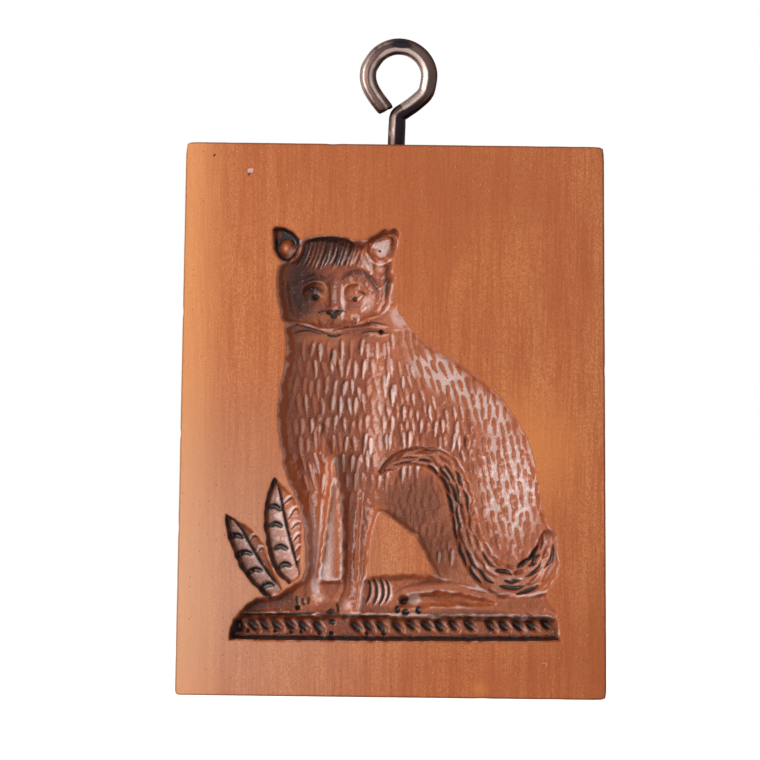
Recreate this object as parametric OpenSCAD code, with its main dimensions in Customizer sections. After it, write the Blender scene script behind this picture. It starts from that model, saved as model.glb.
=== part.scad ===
// Springerle mould: a block with a seated cat sunk into its face, hung by a screw eye.
// Millimetres. X runs to the right along the carved face, Z runs up, and the face looks towards -Y.
// The origin is the middle of the bottom edge. Places on the face are [across, up] from there,
// a knuckle is [across, up, radius], and depths are measured back from the face.

/* [Block] */
// Width along the bottom edge
block_w = 80; // [78:0.5:100]
// Width along the top edge
block_top_w = 77.4; // [74:0.2:100]
// How far the middle of the top edge lies to the left
top_lean = 0.4; // [0:0.1:2]
// Height of the block
block_h = 102.5; // [101:0.5:130]
// Thickness of the block
block_t = 18; // [16:0.5:30]
// Radius of the corners, seen from the front
corner_r = 1.2; // [0.5:0.1:4]
// Bevel along the front and back edges
edge_bevel = 0.5; // [0.2:0.1:1.5]
// Colour of the block
block_tone = "#bd7045"; // [#bd7045, #a85f38, #d9b48a]

/* [Screw eye] */
// Diameter of the wire
wire_d = 3.1; // [2.6:0.1:3.8]
// Diameter of the shank, a little thicker than the wire
shank_d = 3.3; // [2.8:0.1:4]
// Inner width of the loop
loop_bore_d = 8.2; // [7:0.1:12]
// Height of the loop's middle above the block
loop_rise = 12.7; // [12:0.1:18]
// How far the loop's middle lies to the right of the shank
loop_shift = 0.35; // [0:0.05:1]
// Angle below level at which the loop runs out towards the shank
loop_leave = 52; // [46:1:58]
// Angle below level at which the loop runs out towards its free end
loop_end = 38; // [32:1:42]
// Straight length of the free end
end_straight = 3.9; // [1:0.1:4]
// Radius of the bend above the shank, at the middle of the wire
bend_r = 2; // [1.9:0.1:3]
// Place of the shank along the top edge
shank_x = -0.2; // [-5:0.1:5]
// Length of the shank inside the block
shank_in = 14; // [10:0.5:15]
// Length of the pointed tip
tip_l = 3; // [2:0.5:5]
// Width of the blunt point
tip_d = 0.6; // [0.4:0.1:1]
// Gap round the shank in its hole
shank_gap = 0.05; // [0.02:0.01:0.1]
// Room below the tip in the hole
hole_end_gap = 0.4; // [0.2:0.1:1]
// Colour of the wire
wire_tone = "#6b5548"; // [#6b5548, #8a8a88, #3c3836]

/* [Cat: head] */
// Middle of the head
head_at = [-11.2, 75.6]; // [-40:0.1:100]
// Half width and half height of the head
head_r = [10.9, 10.0]; // [6:0.1:14]
// Squareness of the head's outline, where 2 is an ellipse
head_square = 2.8; // [2:0.1:4]
// Depth of the head
head_depth = 5.4; // [3:0.1:7]
// Depth of both ears
ear_depth = 3; // [1.5:0.1:4]
// Corners of the left ear, anticlockwise
ear_left = [[-20.6, 79.6], [-16.6, 83.6], [-20.6, 87.2], [-23.2, 86.8]]; // [-40:0.1:100]
// Corners of the right ear, anticlockwise
ear_right = [[-5.8, 80.6], [-0.5, 80.4], [0.8, 86.0], [0.2, 87.4], [-5.8, 84.6]]; // [-40:0.1:100]
// Width of the sloping wall of both ears
ear_wall = 1.6; // [0.8:0.1:3]
// How much deeper eyes, nose and muzzle lie than the head round them
face_depth = 0.9; // [0.3:0.1:1.5]
// Left eye
eye_left_at = [-14.9, 75.0]; // [-40:0.1:100]
// Right eye
eye_right_at = [-7.3, 75.0]; // [-40:0.1:100]
// Half width and half height of both eyes
eye_r = [2.3, 1.8]; // [1:0.1:3]
// Top of the nose
nose_top = [-11.0, 77.0, 1.0]; // [-40:0.1:100]
// Tip of the nose
nose_tip = [-11.2, 71.4, 1.5]; // [-40:0.1:100]
// Middle of the muzzle
muzzle_at = [-11.0, 70.0]; // [-40:0.1:100]
// Half width and half height of the muzzle
muzzle_r = [4.6, 2.2]; // [1:0.1:6]

/* [Cat: body] */
// Outline of chest, back and haunch, anticlockwise
body_outline = [[-20.2, 68.5], [-20.1, 63.0], [-21.0, 57.0], [-21.4, 52.5], [-20.8, 46.0], [-19.5, 40.5],
    [-17.6, 36.3], [-16.4, 34.6], [-13.8, 35.6], [-12.2, 39.4], [-11.0, 42.4], [-9.9, 39.6], [-8.8, 35.4],
    [-6.4, 33.2], [-1.0, 33.7], [3.0, 30.9], [5.6, 27.8], [7.5, 24.0], [10.8, 20.6], [16.0, 19.6],
    [24.0, 18.8], [29.3, 20.6], [31.0, 25.4], [30.0, 30.5], [27.6, 35.2], [27.0, 39.0], [25.4, 46.5],
    [22.2, 52.6], [17.6, 57.8], [11.5, 62.2], [5.2, 66.1], [1.6, 70.0], [-0.3, 73.6],
    [-11.0, 71.0]]; // [-40:0.1:100]
// Steepness of the wall along the outline
body_slope = 2.4; // [1:0.1:4]
// Depth of the chest at the foot of its wall and in its middle
chest_depths = [2.2, 5.6]; // [0.5:0.1:7]
// Distance from the outline at which the chest is deepest
chest_reach = 10; // [4:0.5:14]
// Depth of back and haunch at the foot of their wall and in their middle
back_depths = [1.0, 4.9]; // [0.5:0.1:7]
// Distance from the outline at which back and haunch are deepest
back_reach = 14; // [6:0.5:18]
// Places across the face between which the chest steps up to the back
crest_span = [-5.5, -1.0]; // [-15:0.1:10]
// Top of the ridge that parts the shoulders
parting_top = [-13.0, 51.0, 1.4]; // [-40:0.1:100]
// Foot of that ridge
parting_low = [-11.2, 40.0, 2.6]; // [-40:0.1:100]
// Height of that ridge above the shoulders
parting_rise = 1.1; // [0.4:0.1:2]

/* [Cat: legs and tail] */
// Depth of the front legs
leg_depth = 2.6; // [1:0.1:6]
// Left front leg, from the shoulder to the ankle
leg_left = [[-15.6, 41.0, 3.6], [-14.9, 34.0, 2.5], [-15.1, 26.0, 1.9], [-15.0, 19.5, 2.2]]; // [-40:0.1:100]
// Right front leg, from the shoulder to the ankle
leg_right = [[-6.4, 42.0, 3.8], [-6.4, 35.0, 3.2], [-6.9, 27.0, 2.3], [-7.3, 18.5, 2.1]]; // [-40:0.1:100]
// Depth of the panel between the legs
panel_depth = 1.1; // [0.4:0.1:2]
// Panel between the legs, from its top to its foot
panel_run = [[-11.1, 39.0, 1.0], [-11.3, 23.0, 2.7]]; // [-40:0.1:100]
// Depth of the paws
paw_depth = 3; // [2:0.1:5]
// Left front paw
paw_left_at = [-15.2, 17.6]; // [-40:0.1:100]
// Right front paw
paw_right_at = [-9.0, 15.8]; // [-40:0.1:100]
// Half width and half height of a front paw
paw_r = [3.5, 2.3]; // [1.5:0.1:5]
// Heel of the hind foot
foot_heel = [16.0, 19.4, 3.0]; // [-40:0.1:100]
// Toes of the hind foot
foot_toe = [3.2, 17.8, 2.3]; // [-40:0.1:100]
// How much deeper the tail lies than the body it is laid on
tail_rise = 1.2; // [0.4:0.1:2]
// Depth of the tail where it leaves the body
tail_depth = 3.3; // [2:0.1:6]
// Tail, from its tip over the haunch and round below it
tail_run = [[-1.8, 42.1, 0.8], [1.6, 44.2, 1.6], [5.2, 44.7, 2.1], [8.7, 43.4, 2.3],
    [11.2, 40.2, 2.4], [12.6, 36.0, 2.4], [13.6, 31.0, 2.5], [15.6, 26.4, 2.9],
    [19.0, 22.7, 3.3], [23.4, 21.9, 3.3], [27.2, 24.6, 3.0], [28.4, 29.4, 2.0]]; // [-40:0.1:100]

/* [Plinth and leaves] */
// Left and right end of the plinth at its foot
plinth_ends = [-30.0, 31.4]; // [-45:0.1:45]
// How far each end leans in from the foot to the top
plinth_lean = 1.2; // [0:0.1:3]
// Foot and top of the plinth
plinth_span = [10.2, 15.4]; // [5:0.1:30]
// Depth of the plinth
plinth_depth = 3.2; // [2:0.1:5]
// Width of the sloping wall at each end of the plinth
plinth_end_wall = 4; // [1:0.1:6]
// Depth of the ground above the plinth
ground_depth = 2.3; // [1:0.1:4]
// Ground below the leaves and the front paws
ground_left = [[-26.0, 15.6, 2.6], [-11.5, 17.0, 4.0]]; // [-40:0.1:100]
// Ground below the hind foot
ground_mid = [[-3.0, 18.6, 4.0], [15.0, 18.2, 3.8]]; // [-40:0.1:100]
// Ground behind the tail
ground_right = [[22.0, 17.6, 3.4], [29.2, 16.4, 1.6]]; // [-40:0.1:100]
// Number of beads along the plinth
bead_n = 22; // [10:1:26]
// How far the first and last bead lie inside the ends of the plinth
bead_inset = 3; // [2:0.1:5]
// Length and width of a bead
bead_size = [2.7, 1.4]; // [0.8:0.1:4]
// Slant of the beads
bead_tilt = 52; // [20:1:70]
// Height of the beads' middle
bead_z = 13.1; // [11:0.1:20]
// How much deeper a bead lies than the plinth
bead_depth = 0.8; // [0.3:0.1:1.5]
// Depth of the leaves
leaf_depth = 2.4; // [1:0.1:4]
// Tip and root of the left leaf
leaf_left = [[-31.0, 33.8], [-20.4, 18.6]]; // [-40:0.1:100]
// Tip and root of the right leaf
leaf_right = [[-22.2, 40.4], [-17.4, 20.2]]; // [-40:0.1:100]
// Half width of both leaves
leaf_half_w = 3.5; // [2:0.1:5]

/* [Relief] */
// Spacing of the points that the relief is worked out at
relief_step = 1.1; // [1:0.05:2]

/* [Hidden] */
$fn = 48;
face_y = -block_t / 2;
// Carvings rise this far in front of the face, where they are trimmed
relief_lead = 5;
relief_margin = 2;
// Steepness of a hollow's wall: a form with this power is flat inside and steep at its rim
wall_power = 4;
bead_ends = plinth_ends + [bead_inset, -bead_inset];
hole_d = shank_d + 2 * shank_gap;
hole_l = shank_in + hole_end_gap;
loop_r = (loop_bore_d + wire_d) / 2;
loop_at = [shank_x + loop_shift, block_h + loop_rise];
leave_at = loop_at + loop_r * [cos(loop_leave), -sin(loop_leave)];
end_at = loop_at + loop_r * [-cos(loop_end), -sin(loop_end)];
bend_x = shank_x + bend_r;
leave_l = (leave_at.x - bend_x + bend_r * cos(loop_leave)) / sin(loop_leave);
bend_z = leave_at.y - leave_l * cos(loop_leave) - bend_r * sin(loop_leave);
loop_steps = 40;
bend_steps = 8;
wire_sides = 24;
// The drill for the shank starts this far above the block
drill_lead = 2;
// The wire runs this far down inside the shank
wire_lap = 0.5;
relief_lo = [plinth_ends[0] - relief_margin, plinth_span[0] - relief_margin];
relief_hi = [plinth_ends[1] + relief_margin, max([for (c = ear_right) c.y]) + relief_margin];
cols = ceil((relief_hi.x - relief_lo.x) / relief_step);
rows = ceil((relief_hi.y - relief_lo.y) / relief_step);

// Depth of a hollow at a reach that is 0 in its middle and 1 at its rim, negative outside the rim
function hollow(reach, depth) =
    depth * (reach < 1 ? 1 - pow(max(reach, 0), wall_power) : wall_power * (1 - reach));

// Reach of a point in an ellipse
function ellipse_reach(p, at, r) = norm([(p.x - at.x) / r.x, (p.y - at.y) / r.y]);

// Reach of a point in the head, an ellipse with fuller corners
function head_reach(p) =
    pow(pow(abs(p.x - head_at.x) / head_r.x, head_square) + pow(abs(p.y - head_at.y) / head_r.y, head_square),
        1 / head_square);

// Reach of a point in a tapered limb between two knuckles
function limb_reach(p, a, b) =
    let (run = [b.x - a.x, b.y - a.y],
         off = [p.x - a.x, p.y - a.y],
         t = max(0, min(1, off * run / (run * run))))
    norm(off - t * run) / (a.z + t * (b.z - a.z));

// Reach of a point in a chain of limbs
function chain_reach(p, knuckles) =
    min([for (i = [1 : len(knuckles) - 1]) limb_reach(p, knuckles[i - 1], knuckles[i])]);

// Reach of a point in a leaf that is pointed at both ends
function leaf_reach(p, ends) =
    let (half = (ends[1] - ends[0]) / 2,
         off = p - (ends[0] + half),
         along = off * half / (half * half),
         across = (off.x * half.y - off.y * half.x) / norm(half))
    pow(along, 2) + abs(across) / leaf_half_w;

// Reach of a point in an ear, from its distance to the nearest side
function ear_reach(p, corners) =
    1 - min([for (i = [0 : len(corners) - 1])
                let (a = corners[i], side = corners[(i + 1) % len(corners)] - a)
                (side.x * (p.y - a.y) - side.y * (p.x - a.x)) / norm(side)]) / ear_wall;

// Reach of a point in the plinth, whose ends lean in
function plinth_reach(p) =
    let (up = (p.y - plinth_span[0]) / (plinth_span[1] - plinth_span[0]),
         mid = (plinth_ends[0] + plinth_ends[1]) / 2,
         half = (plinth_ends[1] - plinth_ends[0]) / 2 - plinth_lean * up)
    max(1 - (half - abs(p.x - mid)) / plinth_end_wall, abs(2 * up - 1));

// Distance of a point from one side of an outline
function side_gap(p, a, b) =
    let (run = b - a, t = max(0, min(1, (p - a) * run / (run * run))))
    norm(p - a - t * run);

// Whether a ray from a point to the right crosses one side of an outline
function crosses(p, a, b) =
    (a.y > p.y) != (b.y > p.y) && p.x < a.x + (p.y - a.y) / (b.y - a.y) * (b.x - a.x);

// Distance of a point inside an outline, negative outside it
function loop_inside(p, loop) =
    let (sides = [for (i = [0 : len(loop) - 1]) [loop[i], loop[(i + 1) % len(loop)]]],
         hits = len([for (s = sides) if (crosses(p, s[0], s[1])) s]))
    (hits % 2 == 1 ? 1 : -1) * min([for (s = sides) side_gap(p, s[0], s[1])]);

// Depth of a bowl that falls from its rim to its middle over a distance
function bowl(inside, depths, reach) =
    depths[1] - (depths[1] - depths[0]) * pow(1 - max(0, min(1, inside / reach)), 2);

function head_sink(p) =
    let (features = min(ellipse_reach(p, eye_left_at, eye_r), ellipse_reach(p, eye_right_at, eye_r),
                        limb_reach(p, nose_top, nose_tip), ellipse_reach(p, muzzle_at, muzzle_r)))
    max(hollow(head_reach(p), head_depth) + max(0, hollow(features, face_depth)),
        hollow(min(ear_reach(p, ear_left), ear_reach(p, ear_right)), ear_depth));

function body_sink(p) =
    let (inside = loop_inside(p, body_outline),
         chest = bowl(inside, chest_depths, chest_reach),
         back = bowl(inside, back_depths, back_reach),
         over = max(0, min(1, (p.x - crest_span[0]) / (crest_span[1] - crest_span[0]))),
         parting = max(0, hollow(limb_reach(p, parting_top, parting_low), parting_rise)),
         body = min(body_slope * inside, chest + (back - chest) * over - parting),
         tail = chain_reach(p, tail_run))
    max(body + max(0, hollow(tail, tail_rise)), hollow(tail, tail_depth));

function leg_sink(p) =
    max(hollow(min(chain_reach(p, leg_left), chain_reach(p, leg_right)), leg_depth),
        hollow(chain_reach(p, panel_run), panel_depth),
        hollow(min(ellipse_reach(p, paw_left_at, paw_r), ellipse_reach(p, paw_right_at, paw_r),
                   limb_reach(p, foot_heel, foot_toe)), paw_depth));

function ground_sink(p) =
    max(hollow(plinth_reach(p), plinth_depth),
        hollow(min(chain_reach(p, ground_left), chain_reach(p, ground_mid),
                   chain_reach(p, ground_right)), ground_depth),
        hollow(min(leaf_reach(p, leaf_left), leaf_reach(p, leaf_right)), leaf_depth));

// Depth of the whole carving at a place on the face
function sink(p) = max(head_sink(p), body_sink(p), leg_sink(p), ground_sink(p), -relief_lead);

function relief_place(i, j) =
    [relief_lo.x + (relief_hi.x - relief_lo.x) * i / cols,
     relief_lo.y + (relief_hi.y - relief_lo.y) * j / rows];

function relief_index(i, j) = j * (cols + 1) + i;

// One cell of the relief as two triangles, parted along its flatter diagonal
function relief_cell(i, j, depths) =
    let (a = relief_index(i, j), b = relief_index(i + 1, j),
         c = relief_index(i + 1, j + 1), d = relief_index(i, j + 1))
    abs(depths[a] - depths[c]) < abs(depths[b] - depths[d]) ? [[a, b, c], [a, c, d]] : [[a, b, d], [b, c, d]];

// Stamp that sinks the cat, the leaves and the plinth into the face, closed in front by a low pyramid
module relief_stamp() {
    places = [for (j = [0 : rows]) for (i = [0 : cols]) relief_place(i, j)];
    depths = [for (p = places) sink(p)];
    rim = concat([for (i = [0 : cols - 1]) relief_index(i, 0)],
                 [for (j = [0 : rows - 1]) relief_index(cols, j)],
                 [for (i = [cols : -1 : 1]) relief_index(i, rows)],
                 [for (j = [rows : -1 : 1]) relief_index(0, j)]);
    middle = (relief_lo + relief_hi) / 2;
    peak = [middle.x, face_y - relief_lead - relief_margin, middle.y];
    points = [for (k = [0 : len(places) - 1]) [places[k].x, face_y + depths[k], places[k].y]];
    cells = [for (j = [0 : rows - 1]) for (i = [0 : cols - 1]) each relief_cell(i, j, depths)];
    sides = [for (k = [0 : len(rim) - 1]) [rim[(k + 1) % len(rim)], rim[k], len(points)]];
    polyhedron(concat(points, [peak]), concat(cells, sides));
}

// Row of slanted beads along the plinth
module beads() {
    for (i = [0 : bead_n - 1])
        translate([bead_ends[0] + (bead_ends[1] - bead_ends[0]) * i / (bead_n - 1), face_y, bead_z])
            rotate([90, 0, 0])
                rotate([0, 0, -bead_tilt])
                    linear_extrude(2 * (plinth_depth + bead_depth), center = true)
                        scale([bead_size.x / 2, bead_size.y / 2])
                            circle(r = 1);
}

module face_outline(inset) {
    offset(r = corner_r)
        offset(delta = -corner_r - inset)
            polygon([[-block_w / 2, 0], [block_w / 2, 0],
                     [block_top_w / 2 - top_lean, block_h], [-block_top_w / 2 - top_lean, block_h]]);
}

// Block before it is carved, bevelled along its front and back edges
module blank() {
    rotate([90, 0, 0])
        hull() {
            linear_extrude(block_t, center = true)
                face_outline(edge_bevel);
            linear_extrude(block_t - 2 * edge_bevel, center = true)
                face_outline(0);
        }
}

module mould_block() {
    color(block_tone)
        difference() {
            blank();
            relief_stamp();
            beads();
            translate([shank_x, 0, block_h - hole_l])
                cylinder(h = hole_l + drill_lead, d = hole_d);
        }
}

// Stations of the wire from its free end to the shank: [place, outward direction] in the plane of the eye
function wire_stations() =
    let (end_out = [-cos(loop_end), -sin(loop_end)],
         end_run = end_straight * [sin(loop_end), -cos(loop_end)],
         sweep = 180 + loop_end + loop_leave)
    concat([[end_at + end_run, end_out]],
           [for (i = [0 : loop_steps])
               let (turn = 180 + loop_end - sweep * i / loop_steps, out = [cos(turn), sin(turn)])
               [loop_at + loop_r * out, out]],
           [for (i = [0 : bend_steps])
               let (turn = 180 - loop_leave + loop_leave * i / bend_steps, out = [-cos(turn), -sin(turn)])
               [[bend_x, bend_z] - bend_r * out, out]],
           [[[shank_x, bend_z - wire_lap], [1, 0]]]);

// Round wire drawn along its stations
module bent_wire() {
    stations = wire_stations();
    last = len(stations) - 1;
    points = [for (s = stations) for (k = [0 : wire_sides - 1])
        let (turn = 360 * k / wire_sides,
             out = s[0] + wire_d / 2 * cos(turn) * s[1])
        [out.x, wire_d / 2 * sin(turn), out.y]];
    sides = [for (i = [0 : last - 1]) for (k = [0 : wire_sides - 1])
        let (next = (k + 1) % wire_sides, a = i * wire_sides, b = a + wire_sides)
        [a + next, b + next, b + k, a + k]];
    free_end = [for (k = [wire_sides - 1 : -1 : 0]) k];
    shank_end = [for (k = [0 : wire_sides - 1]) last * wire_sides + k];
    polyhedron(points, concat(sides, [free_end, shank_end]));
}

module screw_eye() {
    color(wire_tone)
        union() {
            bent_wire();
            translate([shank_x, 0, block_h - shank_in])
                rotate_extrude()
                    polygon([[0, 0], [tip_d / 2, 0], [shank_d / 2, tip_l],
                             [shank_d / 2, bend_z - block_h + shank_in], [0, bend_z - block_h + shank_in]]);
        }
}

mould_block();
screw_eye();
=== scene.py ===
"""Looks of a springerle mould: a block with a seated cat sunk into its face, hung by a screw eye."""

import logging
import math
from collections.abc import Sequence
from dataclasses import dataclass
from enum import Enum

import bpy
import numpy as np
from mathutils import Euler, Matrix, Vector


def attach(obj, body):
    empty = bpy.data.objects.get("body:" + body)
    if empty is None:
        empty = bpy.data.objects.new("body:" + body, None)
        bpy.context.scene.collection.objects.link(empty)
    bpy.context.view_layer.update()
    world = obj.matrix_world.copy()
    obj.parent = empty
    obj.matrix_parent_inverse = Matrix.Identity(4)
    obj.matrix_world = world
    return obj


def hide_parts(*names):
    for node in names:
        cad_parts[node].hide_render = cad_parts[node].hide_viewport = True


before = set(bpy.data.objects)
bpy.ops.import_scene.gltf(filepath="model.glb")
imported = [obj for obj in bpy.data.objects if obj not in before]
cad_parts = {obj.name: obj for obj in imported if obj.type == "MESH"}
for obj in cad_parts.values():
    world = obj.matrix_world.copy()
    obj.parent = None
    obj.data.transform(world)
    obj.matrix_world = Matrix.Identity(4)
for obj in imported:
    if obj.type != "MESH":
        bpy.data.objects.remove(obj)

Point = tuple[float, float]
Triple = tuple[float, float, float]
Colour = tuple[float, float, float, float]
# A place on the face with a half width.
Knuckle = Triple
Window = tuple[slice, slice]

# Everything on the carved face is drawn in millimetres, [across, up] from the middle of its bottom edge.
MM = 0.001
# Place of the flat face through the block, in metres.
FACE_Y = -0.009
# Worn roundness of the lip where a hollow breaks the face.
LIP = 0.1
# How far the edge of the carving frays in and out, and the spread of that in cells of the face.
FRAY = 0.1
FRAY_CELLS = 2.2
FRAY_SEED = 17
# How far a wall is rounded into its floor.
BLEND = 0.7
# Most paleness painted along the inside of a form's rim, painted light that lifts the shade on its walls.
RIM_LIGHT = 0.5
# Room left round a form while it is worked out.
ROOM = 2.0
# Distance that stands for a place nowhere near a form.
FAR = 9.0
log = logging.getLogger("mould")


class Body(Enum):
    """The moving bodies of the mould."""

    BLOCK = "block"
    EYE = "eye"


class Layer(Enum):
    """What a mesh carries for its finish, each from 0 to 1."""

    HOLLOW = "hollow"
    # Pooled glaze, together with painted shade.
    GLAZE_AND_SHADE = "glaze"
    # Rubbed wear, together with painted sheen and highlights.
    WEAR_AND_SHEEN = "wear"
    EDGE = "edge"


class Side(Enum):
    """The parts of the block's skin, each laid out by itself for the finish."""

    FRONT = 0
    SIDES = 1
    BACK = 2
    HOLE = 3


def smooth_run(points: Sequence[Sequence[float]], closed: bool = False, step: float = 0.7) -> np.ndarray:
    """Draws a smooth curve through given points.

    Args:
        points: Points of two or more numbers each; a point given twice makes a corner.
        closed: True where the curve runs back to its first point.
        step: Largest distance between two points of the curve.

    Returns:
        The points of the curve, one row each.
    """
    knots = np.asarray(points, float)
    count = len(knots)
    spans = []
    for i in range(count if closed else count - 1):
        at = [(i + k) % count if closed else min(max(i + k, 0), count - 1) for k in (-1, 0, 1, 2)]
        a, b, c, d = knots[at]
        steps = max(1, math.ceil(float(np.hypot(*(c - b)[:2])) / step))
        t = np.arange(steps)[:, None] / steps
        spans.append(
            0.5 * (2 * b + (c - a) * t + (2 * a - 5 * b + 4 * c - d) * t**2 + (3 * b - a - 3 * c + d) * t**3)
        )
    if not closed:
        spans.append(knots[-1:])
    curve = np.concatenate(spans)
    moved = np.hypot(*(curve - np.roll(curve, 1, axis=0))[:, :2].T) > 1e-6
    moved[0] = True
    return curve[moved]


def soft_min(a: np.ndarray, b: np.ndarray, blend: float) -> np.ndarray:
    """Smaller of two fields, rounded over where they cross.

    Args:
        a: First field.
        b: Second field.
        blend: Width of the rounding, in the fields' own unit.

    Returns:
        The rounded smaller field.
    """
    share = np.clip(0.5 + 0.5 * (b - a) / blend, 0, 1)
    return b + (a - b) * share - blend * share * (1 - share)


def soften(field: np.ndarray, cells: float) -> np.ndarray:
    """Blurs a field.

    Args:
        field: Values over the rows and columns of the face.
        cells: Spread of the blur, in cells.

    Returns:
        The blurred field.
    """
    taps = np.arange(-math.ceil(3 * cells), math.ceil(3 * cells) + 1)
    weights = np.exp(-0.5 * (taps / cells) ** 2)
    weights /= weights.sum()
    for axis in (0, 1):
        pad = [(0, 0), (0, 0)]
        pad[axis] = (len(taps) // 2, len(taps) // 2)
        wide = np.pad(field, pad, mode="edge")
        size = field.shape[axis]
        field = sum(w * wide.take(range(k, k + size), axis=axis) for k, w in enumerate(weights))
    return field


def bearings(line: np.ndarray) -> tuple[np.ndarray, np.ndarray, np.ndarray]:
    """Measures a line as one goes along it.

    Args:
        line: Its points, one row each.

    Returns:
        How far along each point lies, the heading there, and the direction to the left.
    """
    heading = np.gradient(line, axis=0)
    heading /= np.hypot(*heading.T)[:, None]
    left = np.column_stack([-heading[:, 1], heading[:, 0]])
    far = np.concatenate([[0], np.cumsum(np.hypot(*np.diff(line, axis=0).T))])
    return far, heading, left


@dataclass(frozen=True)
class Stroke:
    """One pull of a keen gouge along a smooth line; a negative depth leaves a ridge.

    The keel says where across the cut its deepest line lies, from -1 on its right to 1 on its left, seen along it.
    The entry says how soon along it the cut is widest: below 1 nearer its start. The wear and sheen lie on its left
    facet, which is painted pale as a sheen, and the glaze then darkens only its steep wall as painted shade; below 0
    the cut bites through the pale that was there.
    """

    points: tuple[Point, ...]
    half_width: float
    depth: float
    glaze: float = 0.0
    taper: float = 4.0
    keel: float = 0.0
    entry: float = 1.0
    wear: float = 0.0


@dataclass(frozen=True)
class Pit:
    """An oval dip; a negative depth leaves a boss, and no depth only darkens the place or paints it pale: glaze and
    wear, or painted shade and painted sheen.
    """

    at: Point
    half: Point
    depth: float
    glaze: float = 0.0
    turn: float = 0.0
    wear: float = 0.0


@dataclass(frozen=True)
class Reach:
    """How places lie to a line that has a width: 0 on it and 1 at its edge, its half width there, and the side."""

    near: np.ndarray
    width: np.ndarray
    side: np.ndarray


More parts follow.
